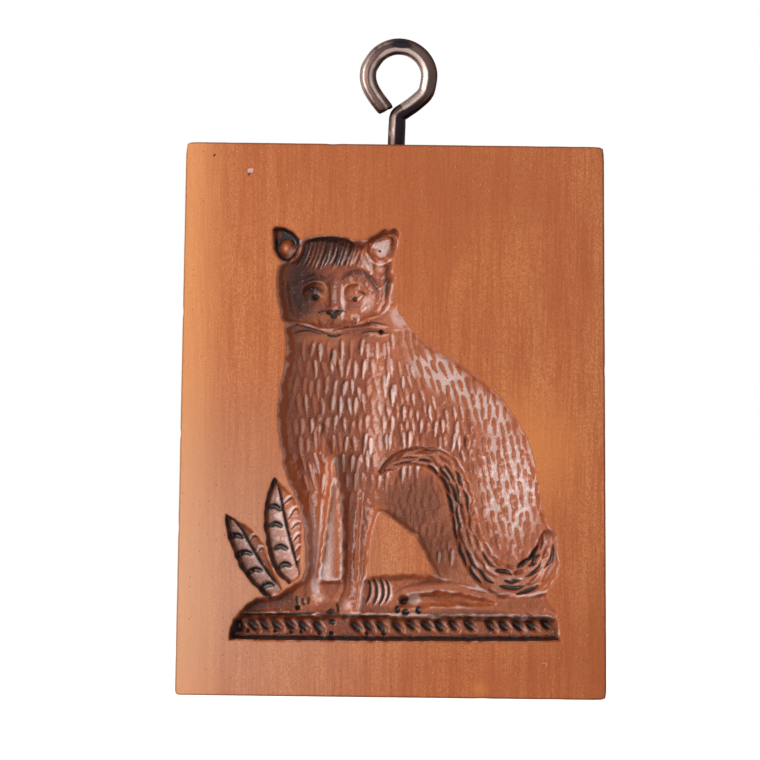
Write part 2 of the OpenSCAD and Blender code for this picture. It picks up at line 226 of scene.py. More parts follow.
class Relief:
    """Depth of the carving at places on the face, with the dark glaze and painted shade in it, and the wear and painted
    sheen that pale it.
    """

    def __init__(self, x: np.ndarray, z: np.ndarray) -> None:
        """Starts from an uncarved face.

        Args:
            x: Places across the face, by row and column.
            z: Places up the face, by row and column.
        """
        self.x, self.z = x, z
        self.columns, self.rows = x[len(x) // 2], z[:, 0]
        self.depth = np.zeros_like(x)
        self.glaze = np.zeros_like(x)
        self.wear = np.zeros_like(x)
        fray = soften(np.random.default_rng(FRAY_SEED).normal(0, 1, x.shape), FRAY_CELLS)
        self.fray = fray * (FRAY / fray.std())

    def window(self, points: np.ndarray, pad: float) -> Window:
        """Rows and columns round some points.

        Args:
            points: Points on the face.
            pad: Room left round them.

        Returns:
            The slices of rows and columns.
        """
        lo, hi = points[:, :2].min(axis=0) - pad, points[:, :2].max(axis=0) + pad
        across = slice(*np.searchsorted(self.columns, (lo[0], hi[0])))
        up = slice(*np.searchsorted(self.rows, (lo[1], hi[1])))
        return up, across

    def outline(self, points: Sequence[Point], pad: float = ROOM) -> tuple[np.ndarray, Window]:
        """Smooth closed loop through some points, with the rows and columns round it."""
        loop = smooth_run(points, closed=True)
        return loop, self.window(loop, pad)

    def inside(self, loop: np.ndarray, window: Window) -> np.ndarray:
        """Distance of each place inside a closed loop.

        Args:
            loop: Points of the loop.
            window: Rows and columns to work out.

        Returns:
            Distances, negative outside the loop.
        """
        x, z = self.x[window], self.z[window]
        nearest = np.full(x.shape, np.inf)
        within = np.zeros(x.shape, bool)
        for (ax, az), (bx, bz) in zip(loop, np.roll(loop, -1, axis=0)):
            ux, uz = bx - ax, bz - az
            t = np.clip(((x - ax) * ux + (z - az) * uz) / (ux * ux + uz * uz), 0, 1)
            nearest = np.minimum(nearest, (x - ax - t * ux) ** 2 + (z - az - t * uz) ** 2)
            if az != bz:
                within ^= ((az > z) != (bz > z)) & (x < ax + (z - az) / (bz - az) * ux)
        return np.where(within, 1, -1) * np.sqrt(nearest) + self.fray[window]

    def reach(self, run: np.ndarray, window: Window) -> Reach:
        """Measures places against a line with a width.

        Args:
            run: Points of the line, each with its half width.
            window: Rows and columns to work out.

        Returns:
            How the places lie to the line.
        """
        x, z = self.x[window], self.z[window]
        near, width, side = np.full(x.shape, np.inf), np.ones(x.shape), np.ones(x.shape)
        for (ax, az, ar), (bx, bz, br) in zip(run[:-1], run[1:]):
            ux, uz = bx - ax, bz - az
            t = np.clip(((x - ax) * ux + (z - az) * uz) / (ux * ux + uz * uz), 0, 1)
            half = ar + t * (br - ar)
            here = np.hypot(x - ax - t * ux, z - az - t * uz) / half
            width = np.where(here < near, half, width)
            side = np.where(here < near, np.sign(ux * (z - az) - uz * (x - ax)), side)
            near = np.minimum(near, here)
        return Reach(near, width, side)

    def limb(self, run: Sequence[Knuckle], window: Window) -> np.ndarray:
        """Bowl of a limb: 1 along its middle, 0 at its edge and below 0 outside."""
        return 1 - self.reach(smooth_run(run, step=1.5), window).near ** 2

    def oval(self, at: Point, half: Point, window: Window, turn: float = 0.0) -> np.ndarray:
        """Bowl of an oval, as for a limb.

        Args:
            at: Its middle.
            half: Its half width and half height.
            window: Rows and columns to work out.
            turn: How far it is turned, in degrees anticlockwise.

        Returns:
            The bowl.
        """
        c, s = math.cos(math.radians(turn)), math.sin(math.radians(turn))
        u, w = self.x[window] - at[0], self.z[window] - at[1]
        return 1 - ((u * c + w * s) / half[0]) ** 2 - ((w * c - u * s) / half[1]) ** 2

    def sink(self, loop: np.ndarray, floor: np.ndarray | float, slope: float, window: Window) -> np.ndarray:
        """Sinks a form with a wall inside a loop.

        Args:
            loop: Outline of the form.
            floor: Depth of its floor.
            slope: Steepness of its wall.
            window: Rows and columns it lies in.

        Returns:
            Distance of each place in the window inside the loop.
        """
        inside = self.inside(loop, window)
        wall = slope * 0.5 * (inside + np.hypot(inside, LIP))
        form = np.where(inside > -1.2, soft_min(wall, np.asarray(floor, float) + 0 * wall, BLEND), 0)
        self.depth[window] = np.maximum(self.depth[window], form)
        return inside

    def darken(self, share: np.ndarray, window: Window) -> None:
        """Darkens places at least to a share of the full glaze and shade: pooled glaze, and painted shade where a mark
        lies in shade.
        """
        self.glaze[window] = np.maximum(self.glaze[window], share)

    def paint_pale(self, share: np.ndarray, window: Window) -> None:
        """Paints places pale at least to a share of the full wear and sheen: rubbed wear, and painted sheen where a
        mark turns to the light.
        """
        self.wear[window] = np.maximum(self.wear[window], share)

    def cut(self, stroke: Stroke) -> None:
        """Cuts one stroke, which runs out thin and shallow at both ends.

        Args:
            stroke: The stroke.
        """
        line = smooth_run(stroke.points, step=0.35)
        t = np.abs(2 * np.linspace(0, 1, len(line)) ** stroke.entry - 1)
        run = np.column_stack([line, stroke.half_width * (1.06 - t**stroke.taper)])
        window = self.window(run, 1.2 * stroke.half_width)
        reach = self.reach(run, window)
        across = reach.near * reach.side
        keen = np.clip(np.minimum((1 + across) / (1 + stroke.keel), (1 - across) / (1 - stroke.keel)), 0, None)
        self.depth[window] += stroke.depth * keen * reach.width / stroke.half_width
        facet = np.minimum(across - stroke.keel, 1 - across) / (1 - stroke.keel)
        # A stroke with wear and sheen has its glaze only along its steep wall, painted shade, and its facet painted
        # pale, a painted sheen.
        dark = 4 * np.minimum(across + 1, stroke.keel + 0.25 - across) if stroke.wear > 0 else 2.2 * keen - 0.35
        self.darken(stroke.glaze * np.clip(dark, 0, 1), window)
        self.wear[window] *= 1 + min(stroke.wear, 0) * np.clip(3 * keen, 0, 1)
        self.paint_pale(stroke.wear * np.clip(6 * facet - 0.5 if stroke.depth else 2 * facet, 0, 1), window)

    def press(self, pit: Pit) -> None:
        """Presses one oval dip.

        Args:
            pit: The dip.
        """
        window = self.window(np.array([pit.at]), 1.1 * max(pit.half))
        bowl = np.clip(self.oval(pit.at, pit.half, window, pit.turn), 0, None)
        self.depth[window] += pit.depth * bowl**1.3
        spread = np.clip((2 if pit.depth else 1.2) * bowl, 0, 1)
        self.darken(pit.glaze * spread, window)
        self.paint_pale(pit.wear * spread, window)

    def light_rim(self, inside: np.ndarray, reach: float, window: Window, where: np.ndarray | float = 1.0) -> None:
        """Paints a form pale along the inside of its rim, painted light that lifts the shade on its wall."""
        self.paint_pale(np.clip(reach - inside, 0, RIM_LIGHT) * (inside > 0) * where, window)

    def work(self, marks: Sequence[Pit | Stroke]) -> None:
        """Presses and cuts marks one after another."""
        for mark in marks:
            (self.press if isinstance(mark, Pit) else self.cut)(mark)

    def at(self, field: np.ndarray, x: float, z: float) -> float:
        """Value of a field at a place on the face."""
        row = min(int(np.searchsorted(self.rows, z)), len(self.rows) - 1)
        return float(field[row, min(int(np.searchsorted(self.columns, x)), len(self.columns) - 1)])


def sheen_oval(at: Point, half: Point, wear: float, turn: float = 0.0) -> Pit:
    """An oval place painted pale as a painted sheen."""
    return Pit(at, half, 0.0, 0.0, turn, wear)


def dark_oval(at: Point, half: Point, glaze: float, turn: float = 0.0) -> Pit:
    """An oval place darkened towards the glaze colour; where noted this is painted shade."""
    return Pit(at, half, 0.0, glaze, turn)


def glint(points: tuple[Point, ...], half_width: float, depth: float, wear: float) -> Stroke:
    """A shallow cut that runs out soon, painted pale all across as a painted glint."""
    return Stroke(points, half_width, depth, taper=2.0, keel=-0.9, wear=wear)


def shifted(points: Sequence[Point], by: Point) -> tuple[Point, ...]:
    """Points moved across and up."""
    return tuple((x + by[0], z + by[1]) for x, z in points)


def ring(at: Point, half: Point, start: float, end: float) -> tuple[Point, ...]:
    """Points along part of an oval.

    Args:
        at: Its middle.
        half: Its half width and half height.
        start: Where it starts, in degrees anticlockwise from the right.
        end: Where it ends.

    Returns:
        The points.
    """
    turns = [math.radians(start + (end - start) * k / 8) for k in range(9)]
    return tuple((at[0] + half[0] * math.cos(t), at[1] + half[1] * math.sin(t)) for t in turns)


@dataclass
class CatHead:
    """The cat's head, looking out of the mould, with its two ears."""

    outline: tuple[Point, ...] = (
        (-20.6, 69.2), (-21.3, 71.5), (-21.8, 74.0), (-22.0, 76.5), (-21.8, 79.0), (-20.8, 81.0),
        (-19.0, 83.4), (-17.3, 84.6), (-15.0, 85.3), (-12.0, 85.5), (-9.6, 85.2), (-7.5, 84.6),
        (-5.4, 84.7), (-3.0, 83.6), (-1.2, 82.0), (-0.6, 80.0), (-0.4, 77.5), (-0.5, 74.5),
        (-1.0, 72.0), (-2.6, 70.2), (-5.5, 68.8), (-8.5, 67.4), (-11.0, 66.9), (-14.0, 67.2), (-17.5, 68.2),
    )
    bowl_at: Point = (-10.4, 75.6)
    bowl_half: Point = (12.6, 11.2)
    rim_depth: float = 2.1
    bowl_depth: float = 3.7
    slope: float = 3.2
    rim_reach: float = 1.6
    rim_lit_left_of: float = -10.0
    left_ear: tuple[Point, ...] = (
        (-20.9, 80.2), (-22.3, 82.0), (-22.9, 84.4), (-22.9, 86.0), (-22.4, 86.9), (-21.0, 87.0),
        (-19.8, 86.6), (-18.6, 85.7), (-17.7, 84.4), (-18.0, 82.4), (-19.2, 80.6),
    )
    right_ear: tuple[Point, ...] = (
        (-5.6, 84.4), (-4.0, 85.8), (-2.5, 86.5), (-1.0, 86.9), (0.2, 87.3), (0.2, 87.3), (0.5, 86.2),
        (0.6, 85.0), (0.2, 83.5), (-0.4, 82.0), (-1.4, 80.6), (-3.2, 80.2), (-5.0, 81.6), (-5.8, 83.2),
    )
    ear_depth: float = 2.4
    left_boss: Pit = Pit((-20.2, 82.9), (1.75, 1.85), -1.5)
    right_boss: tuple[Point, ...] = (
        (-4.9, 84.0), (-4.7, 82.2), (-3.1, 80.9), (-1.7, 81.4), (-0.7, 83.2), (-0.5, 85.1), (-1.6, 85.5), (-3.6, 84.9),
    )
    boss_rise: float = 1.0
    features: tuple[Pit, ...] = (
        Pit((-14.9, 75.0), (2.6, 2.1), 0.9, 0.12),
        Pit((-7.5, 74.9), (2.4, 2.2), 0.9, 0.12),
        Pit((-11.2, 69.6), (5.6, 2.6), 0.8),
        Pit((-16.6, 71.4), (3.8, 3.0), 0.5),
        Pit((-5.8, 71.6), (3.6, 2.8), 0.5),
        Pit((-14.8, 74.05), (0.75, 0.7), 0.6, 1.0),
        # A small boss by the left pupil, painted pale as a glint.
        Pit((-15.0, 74.3), (0.22, 0.22), -0.25, wear=1.0),
        Pit((-7.5, 73.8), (0.55, 0.52), 0.5, 1.0),
        Pit((-12.1, 71.25), (0.85, 0.55), 0.4, 1.0),
        Pit((-10.7, 71.25), (0.85, 0.55), 0.4, 1.0),
        Pit((-11.4, 70.6), (0.75, 0.6), 0.4, 1.0),
        Pit((-2.55, 67.7), (0.5, 0.5), 0.9, 1.0),
        Pit((-3.0, 82.7), (0.3, 0.3), 0.5, 0.9),
        # Painted shade over the left of the head, the side turned from the light: the dark ovals at (-17.3, 76.0) and
        # (-15.4, 72.0). The pale ovals are painted sheen.
        dark_oval((-17.3, 76.0), (4.6, 9.0), 0.66),
        sheen_oval((-2.3, 83.1), (2.3, 2.5), 0.95),
        dark_oval((-16.0, 79.6), (6.0, 3.8), 0.42, 10),
        dark_oval((-12.0, 82.6), (7.4, 4.0), 0.55),
        dark_oval((-15.4, 72.0), (4.2, 3.0), 0.36),
        sheen_oval((-13.9, 75.0), (3.4, 2.4), 0.5),
        sheen_oval((-7.4, 75.2), (2.6, 2.4), 0.5),
        dark_oval((-11.6, 69.4), (4.6, 1.6), 0.3),
        dark_oval((-1.5, 77.0), (1.2, 4.6), 0.45),
        sheen_oval((-5.4, 79.9), (1.9, 3.0), 0.8, 12),
        sheen_oval((-2.9, 80.0), (1.3, 1.6), 0.74),
        sheen_oval((-4.9, 72.8), (2.0, 2.2), 0.72),
        dark_oval((-11.6, 76.4), (2.6, 4.6), 0.3),
    )
    lines: tuple[Stroke, ...] = (
        Stroke(((-11.4, 78.6), (-11.6, 76.0), (-11.7, 73.4), (-11.6, 71.2)), 1.55, 0.75),
        Stroke(((-12.2, 77.0), (-12.1, 75.0), (-12.0, 73.2), (-12.1, 71.9)), 0.3, 0.25, 0.5),
        # The right wall of the nose, painted pale as a sheen.
        Stroke(((-10.0, 76.6), (-10.0, 74.6), (-9.9, 72.6), (-9.6, 71.0)), 0.7, 0.35, keel=-0.6, wear=0.85),
        Stroke(((-16.9, 75.2), (-16.0, 75.6), (-14.6, 75.6), (-13.1, 74.9)), 0.42, 0.35, 0.66),
        Stroke(((-16.4, 76.7), (-15.2, 77.05), (-13.8, 77.0), (-12.5, 76.5)), 0.3, -0.3),
        Stroke(ring((-14.95, 75.1), (2.35, 1.85), 220, -20), 0.38, -0.35),
        Stroke(((-6.95, 75.2), (-6.2, 75.0), (-5.2, 74.4)), 0.36, 0.35, 0.66),
        Stroke(ring((-7.5, 74.9), (2.05, 1.9), 200, -60), 0.36, -0.4),
        Stroke(((-19.4, 76.2), (-18.2, 76.9), (-16.4, 77.6), (-14.2, 77.9), (-12.6, 77.4)), 0.9, 0.45, 0.62, wear=-0.7),
        Stroke(
            ((-9.9, 77.4), (-8.6, 78.5), (-6.95, 78.9), (-5.5, 78.3), (-4.0, 76.8), (-3.0, 75.0)),
            0.9, 0.45, 0.56, wear=-0.8,
        ),
        Stroke(((-14.4, 71.0), (-13.4, 71.5), (-12.4, 71.4)), 0.24, 0.3, 0.85),
        Stroke(((-10.6, 71.4), (-9.8, 71.6), (-8.9, 71.2)), 0.24, 0.3, 0.8),
        Stroke(((-11.4, 70.4), (-11.5, 69.6), (-11.7, 68.9)), 0.26, 0.3, 0.6),
        Stroke(((-18.7, 69.1), (-16.25, 68.4), (-13.65, 67.65), (-11.8, 66.9)), 0.36, 0.4, 0.7),
        Stroke(((-11.8, 67.8), (-8.8, 68.6), (-6.2, 68.8), (-4.0, 69.3), (-1.0, 68.8)), 0.34, 0.45, 0.62),
        Stroke(((-12.6, 67.0), (-11.4, 66.8), (-9.6, 67.2)), 0.34, 0.4, 0.9),
        Stroke(((-18.9, 67.3), (-16.25, 67.8), (-13.65, 67.1)), 0.3, 0.4, 0.75),
        Stroke(((-20.0, 69.2), (-17.5, 68.5), (-14.0, 67.5), (-11.0, 67.2)), 0.7, 0.06, 0.42, 6.0),
        Stroke(((-11.0, 67.2), (-8.5, 67.7), (-5.5, 69.0), (-2.8, 70.3), (-1.2, 71.8)), 0.75, 0.06, 0.36, 6.0),
        Stroke(((-6.2, 67.5), (-4.0, 67.8), (-0.6, 67.5)), 0.28, 0.4, 0.7),
        Stroke(((-18.0, 68.2), (-16.0, 67.9), (-14.0, 67.3)), 0.22, -0.3),
        Stroke(((-9.6, 67.9), (-7.4, 68.3), (-4.6, 68.6), (-1.6, 68.1)), 0.22, -0.3),
        Stroke(((-19.9, 77.6), (-19.7, 75.0), (-19.2, 72.4), (-18.6, 70.4)), 0.5, 0.3, 0.5),
        Stroke(((-3.2, 77.2), (-2.8, 75.0), (-3.6, 72.6), (-5.2, 71.0)), 0.6, 0.3, 0.3),
        Stroke(((-0.9, 79.6), (-0.75, 77.0), (-0.95, 73.6)), 0.28, -0.3),
        Stroke(((-17.0, 83.9), (-15.0, 84.7), (-12.0, 85.0), (-9.6, 84.7), (-7.8, 83.9)), 0.6, 0.2, 0.95),
        Stroke(((-6.8, 82.2), (-6.4, 80.6), (-5.2, 79.2)), 0.24, 0.25, 0.55),
        Stroke(((-5.6, 82.0), (-5.3, 80.8), (-4.4, 79.6)), 0.22, 0.25, 0.5),
        Stroke(((-4.4, 80.6), (-3.8, 79.2), (-3.4, 77.6)), 0.22, 0.25, 0.5),
        Stroke(((-17.5, 84.5), (-17.6, 83.0), (-18.3, 81.4), (-19.8, 80.2)), 0.6, -0.9),
        Stroke(((-5.2, 84.3), (-5.5, 82.6), (-4.6, 81.0), (-3.0, 80.2), (-1.5, 80.7), (-0.4, 82.4)), 0.55, -0.8),
        Stroke(
            (
                (-4.5, 82.4), (-4.3, 83.6), (-3.2, 84.7), (-1.0, 85.5), (0.05, 85.0), (0.05, 83.3), (-0.6, 81.5),
                (-2.1, 80.6), (-3.8, 81.4),
            ),
            0.26, -0.35, taper=8.0, wear=0.9,
        ),
    )
    hair_count: int = 15
    hair_top: Point = (-16.6, -6.0)
    hair_rise: Point = (84.3, 79.2)
    hair_lean: float = 1.6
    hair_width: float = 0.44
    hair_depth: float = 0.5
    hair_seed: int = 5
    ear_chip: Pit = Pit((-21.9, 85.5), (0.9, 1.1), 0.0)
    marks: int = 120
    mark_spread: Point = (10.2, 8.0)
    mark_depth: float = 0.14
    mark_seed: int = 12
    glint_shift: Point = (0.36, 0.2)

    def carve(self, relief: Relief) -> None:
        """Sinks the head and its ears, then models the face.

        Args:
            relief: The carving so far.
        """
        loop, window = relief.outline(self.outline)
        bowl = np.clip(relief.oval(self.bowl_at, self.bowl_half, window), -0.3, None)
        inside = relief.sink(loop, self.rim_depth + self.bowl_depth * bowl, self.slope, window)
        # Painted light lifts the shaded left wall of the head along the inside of its rim.
        relief.light_rim(inside, self.rim_reach, window, relief.x[window] < self.rim_lit_left_of)
        self.carve_ears(relief)
        relief.work(self.features + self.lines)
        self.comb(relief)
        self.tool(relief)

    def tool(self, relief: Relief) -> None:
        """Leaves the small marks of the tool all over the face, painted highlights on its right, the side turned to the
        light, and painted shade in the darkened marks on its left.

        Args:
            relief: The carving so far.
        """
        rng = np.random.default_rng(self.mark_seed)
        for _ in range(self.marks):
            far, turn = 0.92 * math.sqrt(rng.uniform(0.1, 1)), rng.uniform(0, 2 * math.pi)
            x = self.bowl_at[0] + self.mark_spread[0] * far * math.cos(turn)
            z = self.bowl_at[1] + self.mark_spread[1] * far * math.sin(turn)
            half = (rng.uniform(0.5, 1.1), rng.uniform(0.22, 0.36))
            bright = rng.uniform(0.35, 1) if rng.uniform() < 0.5 + 0.04 * (x - self.bowl_at[0]) else 0.0
            lean = rng.normal(70, 30)
            dark = 0.0 if bright else rng.uniform(0.1, 0.45)
            relief.press(Pit((x, z), half, self.mark_depth, dark, lean, bright))

    def carve_ears(self, relief: Relief) -> None:
        """Sinks both ears and leaves the boss in each.

        Args:
            relief: The carving so far.
        """
        for outline in (self.left_ear, self.right_ear):
            loop, window = relief.outline(outline)
            relief.sink(loop, self.ear_depth, self.slope, window)
        loop, window = relief.outline(self.left_ear)
        relief.darken(np.clip(relief.inside(loop, window) / 0.5, 0, 1), window)
        relief.press(self.left_boss)
        boss = np.clip(relief.oval(self.left_boss.at, self.left_boss.half, window) * 3, 0, 1)
        chip = np.clip(relief.oval(self.ear_chip.at, self.ear_chip.half, window) * 2, 0, 1)
        relief.glaze[window] *= (1 - 0.85 * boss) * (1 - 0.8 * chip)
        loop, window = relief.outline(self.right_boss)
        relief.depth[window] -= self.boss_rise * np.clip(relief.inside(loop, window) / 0.7, 0, 1)

    def comb(self, relief: Relief) -> None:
        """Cuts the hair of the forehead as leaning strokes side by side, each with a painted glint beside it.

        Args:
            relief: The carving so far.
        """
        rng = np.random.default_rng(self.hair_seed)
        for i in range(self.hair_count):
            share = i / (self.hair_count - 1)
            top = self.hair_top[0] + (self.hair_top[1] - self.hair_top[0]) * share + rng.normal(0, 0.12)
            high = self.hair_rise[0] + 0.5 * math.sin(math.pi * share) + rng.normal(0, 0.2)
            low = self.hair_rise[1] + 0.9 * abs(share - 0.4) + rng.normal(0, 0.25)
            lean = self.hair_lean * (1.25 - 0.5 * share)
            bends = rng.normal(0, 0.14, 2)
            points = (
                (top, high), (top - 0.2 * lean + bends[0], 0.65 * high + 0.35 * low),
                (top - 0.55 * lean + bends[1], 0.3 * high + 0.7 * low), (top - lean, low),
            )
            dark = rng.uniform(0.6, 0.85) if share < 0.8 else 0.35
            relief.cut(Stroke(points, self.hair_width * rng.uniform(0.6, 0.9), self.hair_depth, dark, 3.0))
            bright = rng.uniform(0.75, 1) * (1 if 0.3 < share < 0.9 else 0.75)
            relief.cut(glint(shifted(points[1:], self.glint_shift), 0.34, 0.12, bright))


@dataclass(frozen=True)
class Fur:
    """Hairs of one part of the coat: where they start and end across and up, and their rows, pitch and size.

    Without a half width, every hair bites the ground painted pale with sheen.
    """

    across: Point
    up: Point
    rise: float
    pitch: float
    length: float
    half_width: float | None = None


@dataclass
class CatBody:
    """The chest, back and haunch of the cat with its front legs, covered in fur."""

    outline: tuple[Point, ...] = (
        (-20.4, 68.5), (-20.0, 66.0), (-20.1, 63.0), (-20.5, 60.0), (-21.0, 57.0), (-21.4, 53.0),
        (-21.2, 49.0), (-20.8, 46.0), (-20.2, 43.0), (-19.5, 40.5), (-18.5, 38.0), (-17.3, 35.4),
        (-16.5, 32.6), (-16.1, 29.0), (-16.0, 25.5), (-16.2, 22.6), (-17.0, 20.6), (-18.3, 18.8),
        (-18.0, 17.2), (-15.6, 16.7), (-12.9, 17.0), (-12.3, 18.6), (-12.9, 20.6), (-13.2, 22.6),
        (-12.8, 26.4), (-12.4, 30.0), (-11.9, 34.0), (-11.5, 37.0), (-11.2, 41.0), (-11.0, 43.4),
        (-10.5, 41.0), (-9.8, 37.0), (-9.5, 33.0), (-9.4, 28.0), (-9.4, 22.6), (-9.9, 19.8),
        (-11.3, 17.4), (-12.0, 15.6), (-11.0, 14.0), (-8.6, 14.3), (-6.0, 15.0), (-5.2, 18.0),
        (-4.7, 22.0), (-4.4, 26.0), (-3.8, 30.0), (-3.1, 33.0), (-2.3, 34.3), (-1.0, 33.9),
        (1.0, 32.4), (3.0, 30.9), (4.6, 29.6), (5.6, 27.8), (6.6, 26.0), (7.5, 24.0), (8.4, 22.4),
        (10.8, 20.6), (16.0, 19.6), (22.0, 18.7), (26.6, 19.0), (29.3, 20.6), (30.6, 23.0), (31.0, 25.4),
        (30.7, 28.0), (30.0, 30.5), (28.8, 32.6), (27.6, 35.2), (27.0, 39.0), (26.3, 43.0), (25.4, 46.5),
        (24.0, 49.8), (22.2, 52.6), (20.0, 55.4), (17.6, 57.8), (15.0, 60.0), (11.5, 62.2), (8.0, 64.2),
        (5.2, 66.1), (3.0, 68.3), (1.6, 70.0), (0.5, 71.7), (-0.3, 73.6), (-4.0, 73.0), (-11.0, 71.0),
        (-17.0, 70.6),
    )
    slope: float = 2.4
    chest_rims: tuple[Point, ...] = ((20.0, 1.5), (34.0, 1.7), (46.0, 2.0), (52.0, 2.2))
    chest_falls: tuple[Point, ...] = ((30.0, 1.0), (46.0, 3.4))
    chest_reach: float = 10.0
    back_rim: float = 1.0
    back_fall: float = 3.9
    back_reach: float = 14.0
    crest: Point = (-5.5, -1.0)
    parting: tuple[Knuckle, ...] = ((-13.8, 50.0, 0.8), (-12.6, 44.5, 1.6), (-11.3, 38.0, 2.2))
    parting_rise: float = 0.6
    left_leg: tuple[Knuckle, ...] = ((-15.6, 42.0, 3.0), (-15.1, 34.0, 1.8), (-15.0, 26.0, 1.5), (-15.2, 19.5, 1.9))
    right_leg: tuple[Knuckle, ...] = ((-7.6, 43.0, 3.0), (-7.7, 35.0, 2.0), (-7.9, 27.0, 1.7), (-8.4, 18.0, 2.0))
    leg_fall: float = 0.8
    rubbed_and_sheen: float = 0.34
    sheen_reach: float = 14.0
    rim_reach: float = 1.8
    furs: tuple[Fur, ...] = (
        Fur((-20.6, -1.0), (25.6, 64.6), 3.5, 1.5, 3.8, 0.64),
        Fur((-1.0, 14.0), (25.6, 66.6), 2.7, 1.34, 3.1, 0.58),
        Fur((14.0, 27.6), (25.6, 60.0), 2.7, 1.3, 3.3),
    )
    # Painted sheen on the parts turned to the light, and a darker oval over the chest.
    sheens: tuple[Pit, ...] = (
        sheen_oval((21.6, 40.0), (8.8, 17.0), 1.0, 8),
        sheen_oval((0.6, 70.4), (2.4, 3.6), 0.8, 25),
        sheen_oval((2.4, 66.6), (3.4, 4.4), 0.7, 30),
        sheen_oval((9.0, 59.6), (4.8, 11.5), 1.0, 54),
        sheen_oval((17.4, 53.0), (4.8, 8.5), 1.0, 42),
        dark_oval((-11.0, 53.0), (6.6, 13.0), 0.36),
        sheen_oval((-14.9, 29.0), (2.2, 13.0), 0.7),
        sheen_oval((-12.0, 66.0), (9.0, 1.4), 0.5),
        sheen_oval((-2.6, 52.0), (2.2, 15.0), 0.62),
    )
    fur_seed: int = 11
    fur_least: float = 0.05
    fur_facet: float = 0.45
    facet_range: Point = (0.24, 0.5)
    fur_keel: float = -0.6
    fur_entry: float = 0.6
    fur_wall_shade: float = 0.46
    fur_fade: float = 0.9
    bite_from: float = 0.64
    bite_half_width: float = 0.44
    bite_into_sheen: float = -0.66
    bite_glaze: float = 0.14
    swirls: tuple[tuple[Point, Point, float], ...] = (((8, 61), (7, 7), 24), ((20, 42), (8, 12), 8))
    chest_lean: float = 6.0
    chest_corner: Point = (-14.0, 50.0)
    left_fade: Point = (-19.0, -14.0)
    legs_fade: Point = (33.0, 38.0)
    legs_end: float = -2.0
    smooth_at: Point = (5.2, 33.6)
    smooth_half: Point = (7.2, 6.2)

    def carve(self, relief: Relief) -> np.ndarray:
        """Sinks the body.

        Args:
            relief: The carving so far.

        Returns:
            Distance of each place on the face inside the body's outline.
        """
        loop, window = relief.outline(self.outline)
        x, z = relief.x[window], relief.z[window]
        inside = soften(np.clip(relief.inside(loop, window), 0, None), 5)
        chest = np.interp(z, *zip(*self.chest_rims))
        chest = chest + np.interp(z, *zip(*self.chest_falls)) * self.bowl(inside / self.chest_reach)
        back = self.back_rim + self.back_fall * self.bowl(inside / self.back_reach)
        over = np.clip((x - self.crest[0]) / (self.crest[1] - self.crest[0]), 0, 1)
        form = chest + (back - chest) * over**2 * (3 - 2 * over)
        form = form - self.parting_rise * np.clip(relief.limb(self.parting, window), 0, None)
        for run in (self.left_leg, self.right_leg):
            form = form + self.leg_fall * np.clip(relief.limb(run, window), 0, None)
        # Painted sheen over the back's right side, which turns to the light.
        relief.paint_pale(self.rubbed_and_sheen * over * np.clip((self.sheen_reach - inside) / self.sheen_reach * 1.6, 0, 1), window)
        room = np.full(relief.x.shape, -FAR)
        room[window] = relief.sink(loop, form, self.slope, window)
        # Painted light lifts the shade along the inside of the body's rim.
        relief.light_rim(room[window], self.rim_reach, window)
        relief.work(self.sheens)
        return room

    @staticmethod
    def bowl(share: np.ndarray) -> np.ndarray:
        """Fall of a bowl over the share of the way in from its rim."""
        return 1 - (1 - np.clip(share, 0, 1)) ** 2

    def lean(self, x: float, z: float) -> float:
        """Lean of the fur at a place.

        Args:
            x: Place across.
            z: Place up.

        Returns:
            The lean, in degrees, with the tops of the hairs to the left.
        """
        swirled = sum(
            turn * math.exp(-(((x - ax) / wx) ** 2) - ((z - az) / wz) ** 2) for (ax, az), (wx, wz), turn in self.swirls
        )
        return swirled + (self.chest_lean if x < self.chest_corner[0] and z < self.chest_corner[1] else 0)

    def comb(self, relief: Relief, room: np.ndarray) -> None:
        """Cuts the fur in staggered rows, each hair a short pull of the gouge.

        Args:
            relief: The carving.
            room: Distance of each place from the edge of the furry skin.
        """
        rng = np.random.default_rng(self.fur_seed)
        slope = np.gradient(soften(relief.depth, 3), relief.columns, axis=1)
        rubbed_and_sheen = relief.wear.copy()
        for fur in self.furs:
            for row, up in enumerate(np.arange(*fur.up, fur.rise)):
                for across in np.arange(*fur.across, fur.pitch):
                    x = across + row % 2 * fur.pitch / 2 + rng.normal(0, 0.16)
                    z = up + rng.normal(0, 0.4)
                    free = np.clip(relief.at(room, x, z) / self.fur_fade, 0, 1)
                    strength = self.strength(x, z) * free * rng.uniform(0.6, 1.2)
                    if strength > self.fur_least:
                        facet = np.clip(self.fur_facet + relief.at(slope, x, z), *self.facet_range)
                        bite = fur.half_width is None or relief.at(rubbed_and_sheen, x, z) > self.bite_from
                        relief.cut(self.hair(fur, bite, x, z, strength, facet, rng))

    def strength(self, x: float, z: float) -> float:
        """How strongly the fur is cut at a place: faint on the belly, and running out down the legs.

        Args:
            x: Place across.
            z: Place up.

        Returns:
            The strength, from 0 to 1.
        """
        (ax, az), (wx, wz) = self.smooth_at, self.smooth_half
        bare = 1 - ((x - ax) / wx) ** 2 - ((z - az) / wz) ** 2
        low, high = self.legs_fade
        faint = np.interp(x, self.left_fade, (0.4, 1))
        faint *= np.clip((z - low) / (high - low), 0, 1) if x < self.legs_end else 1
        return np.clip(-1.6 * bare, 0.5, 1) * faint

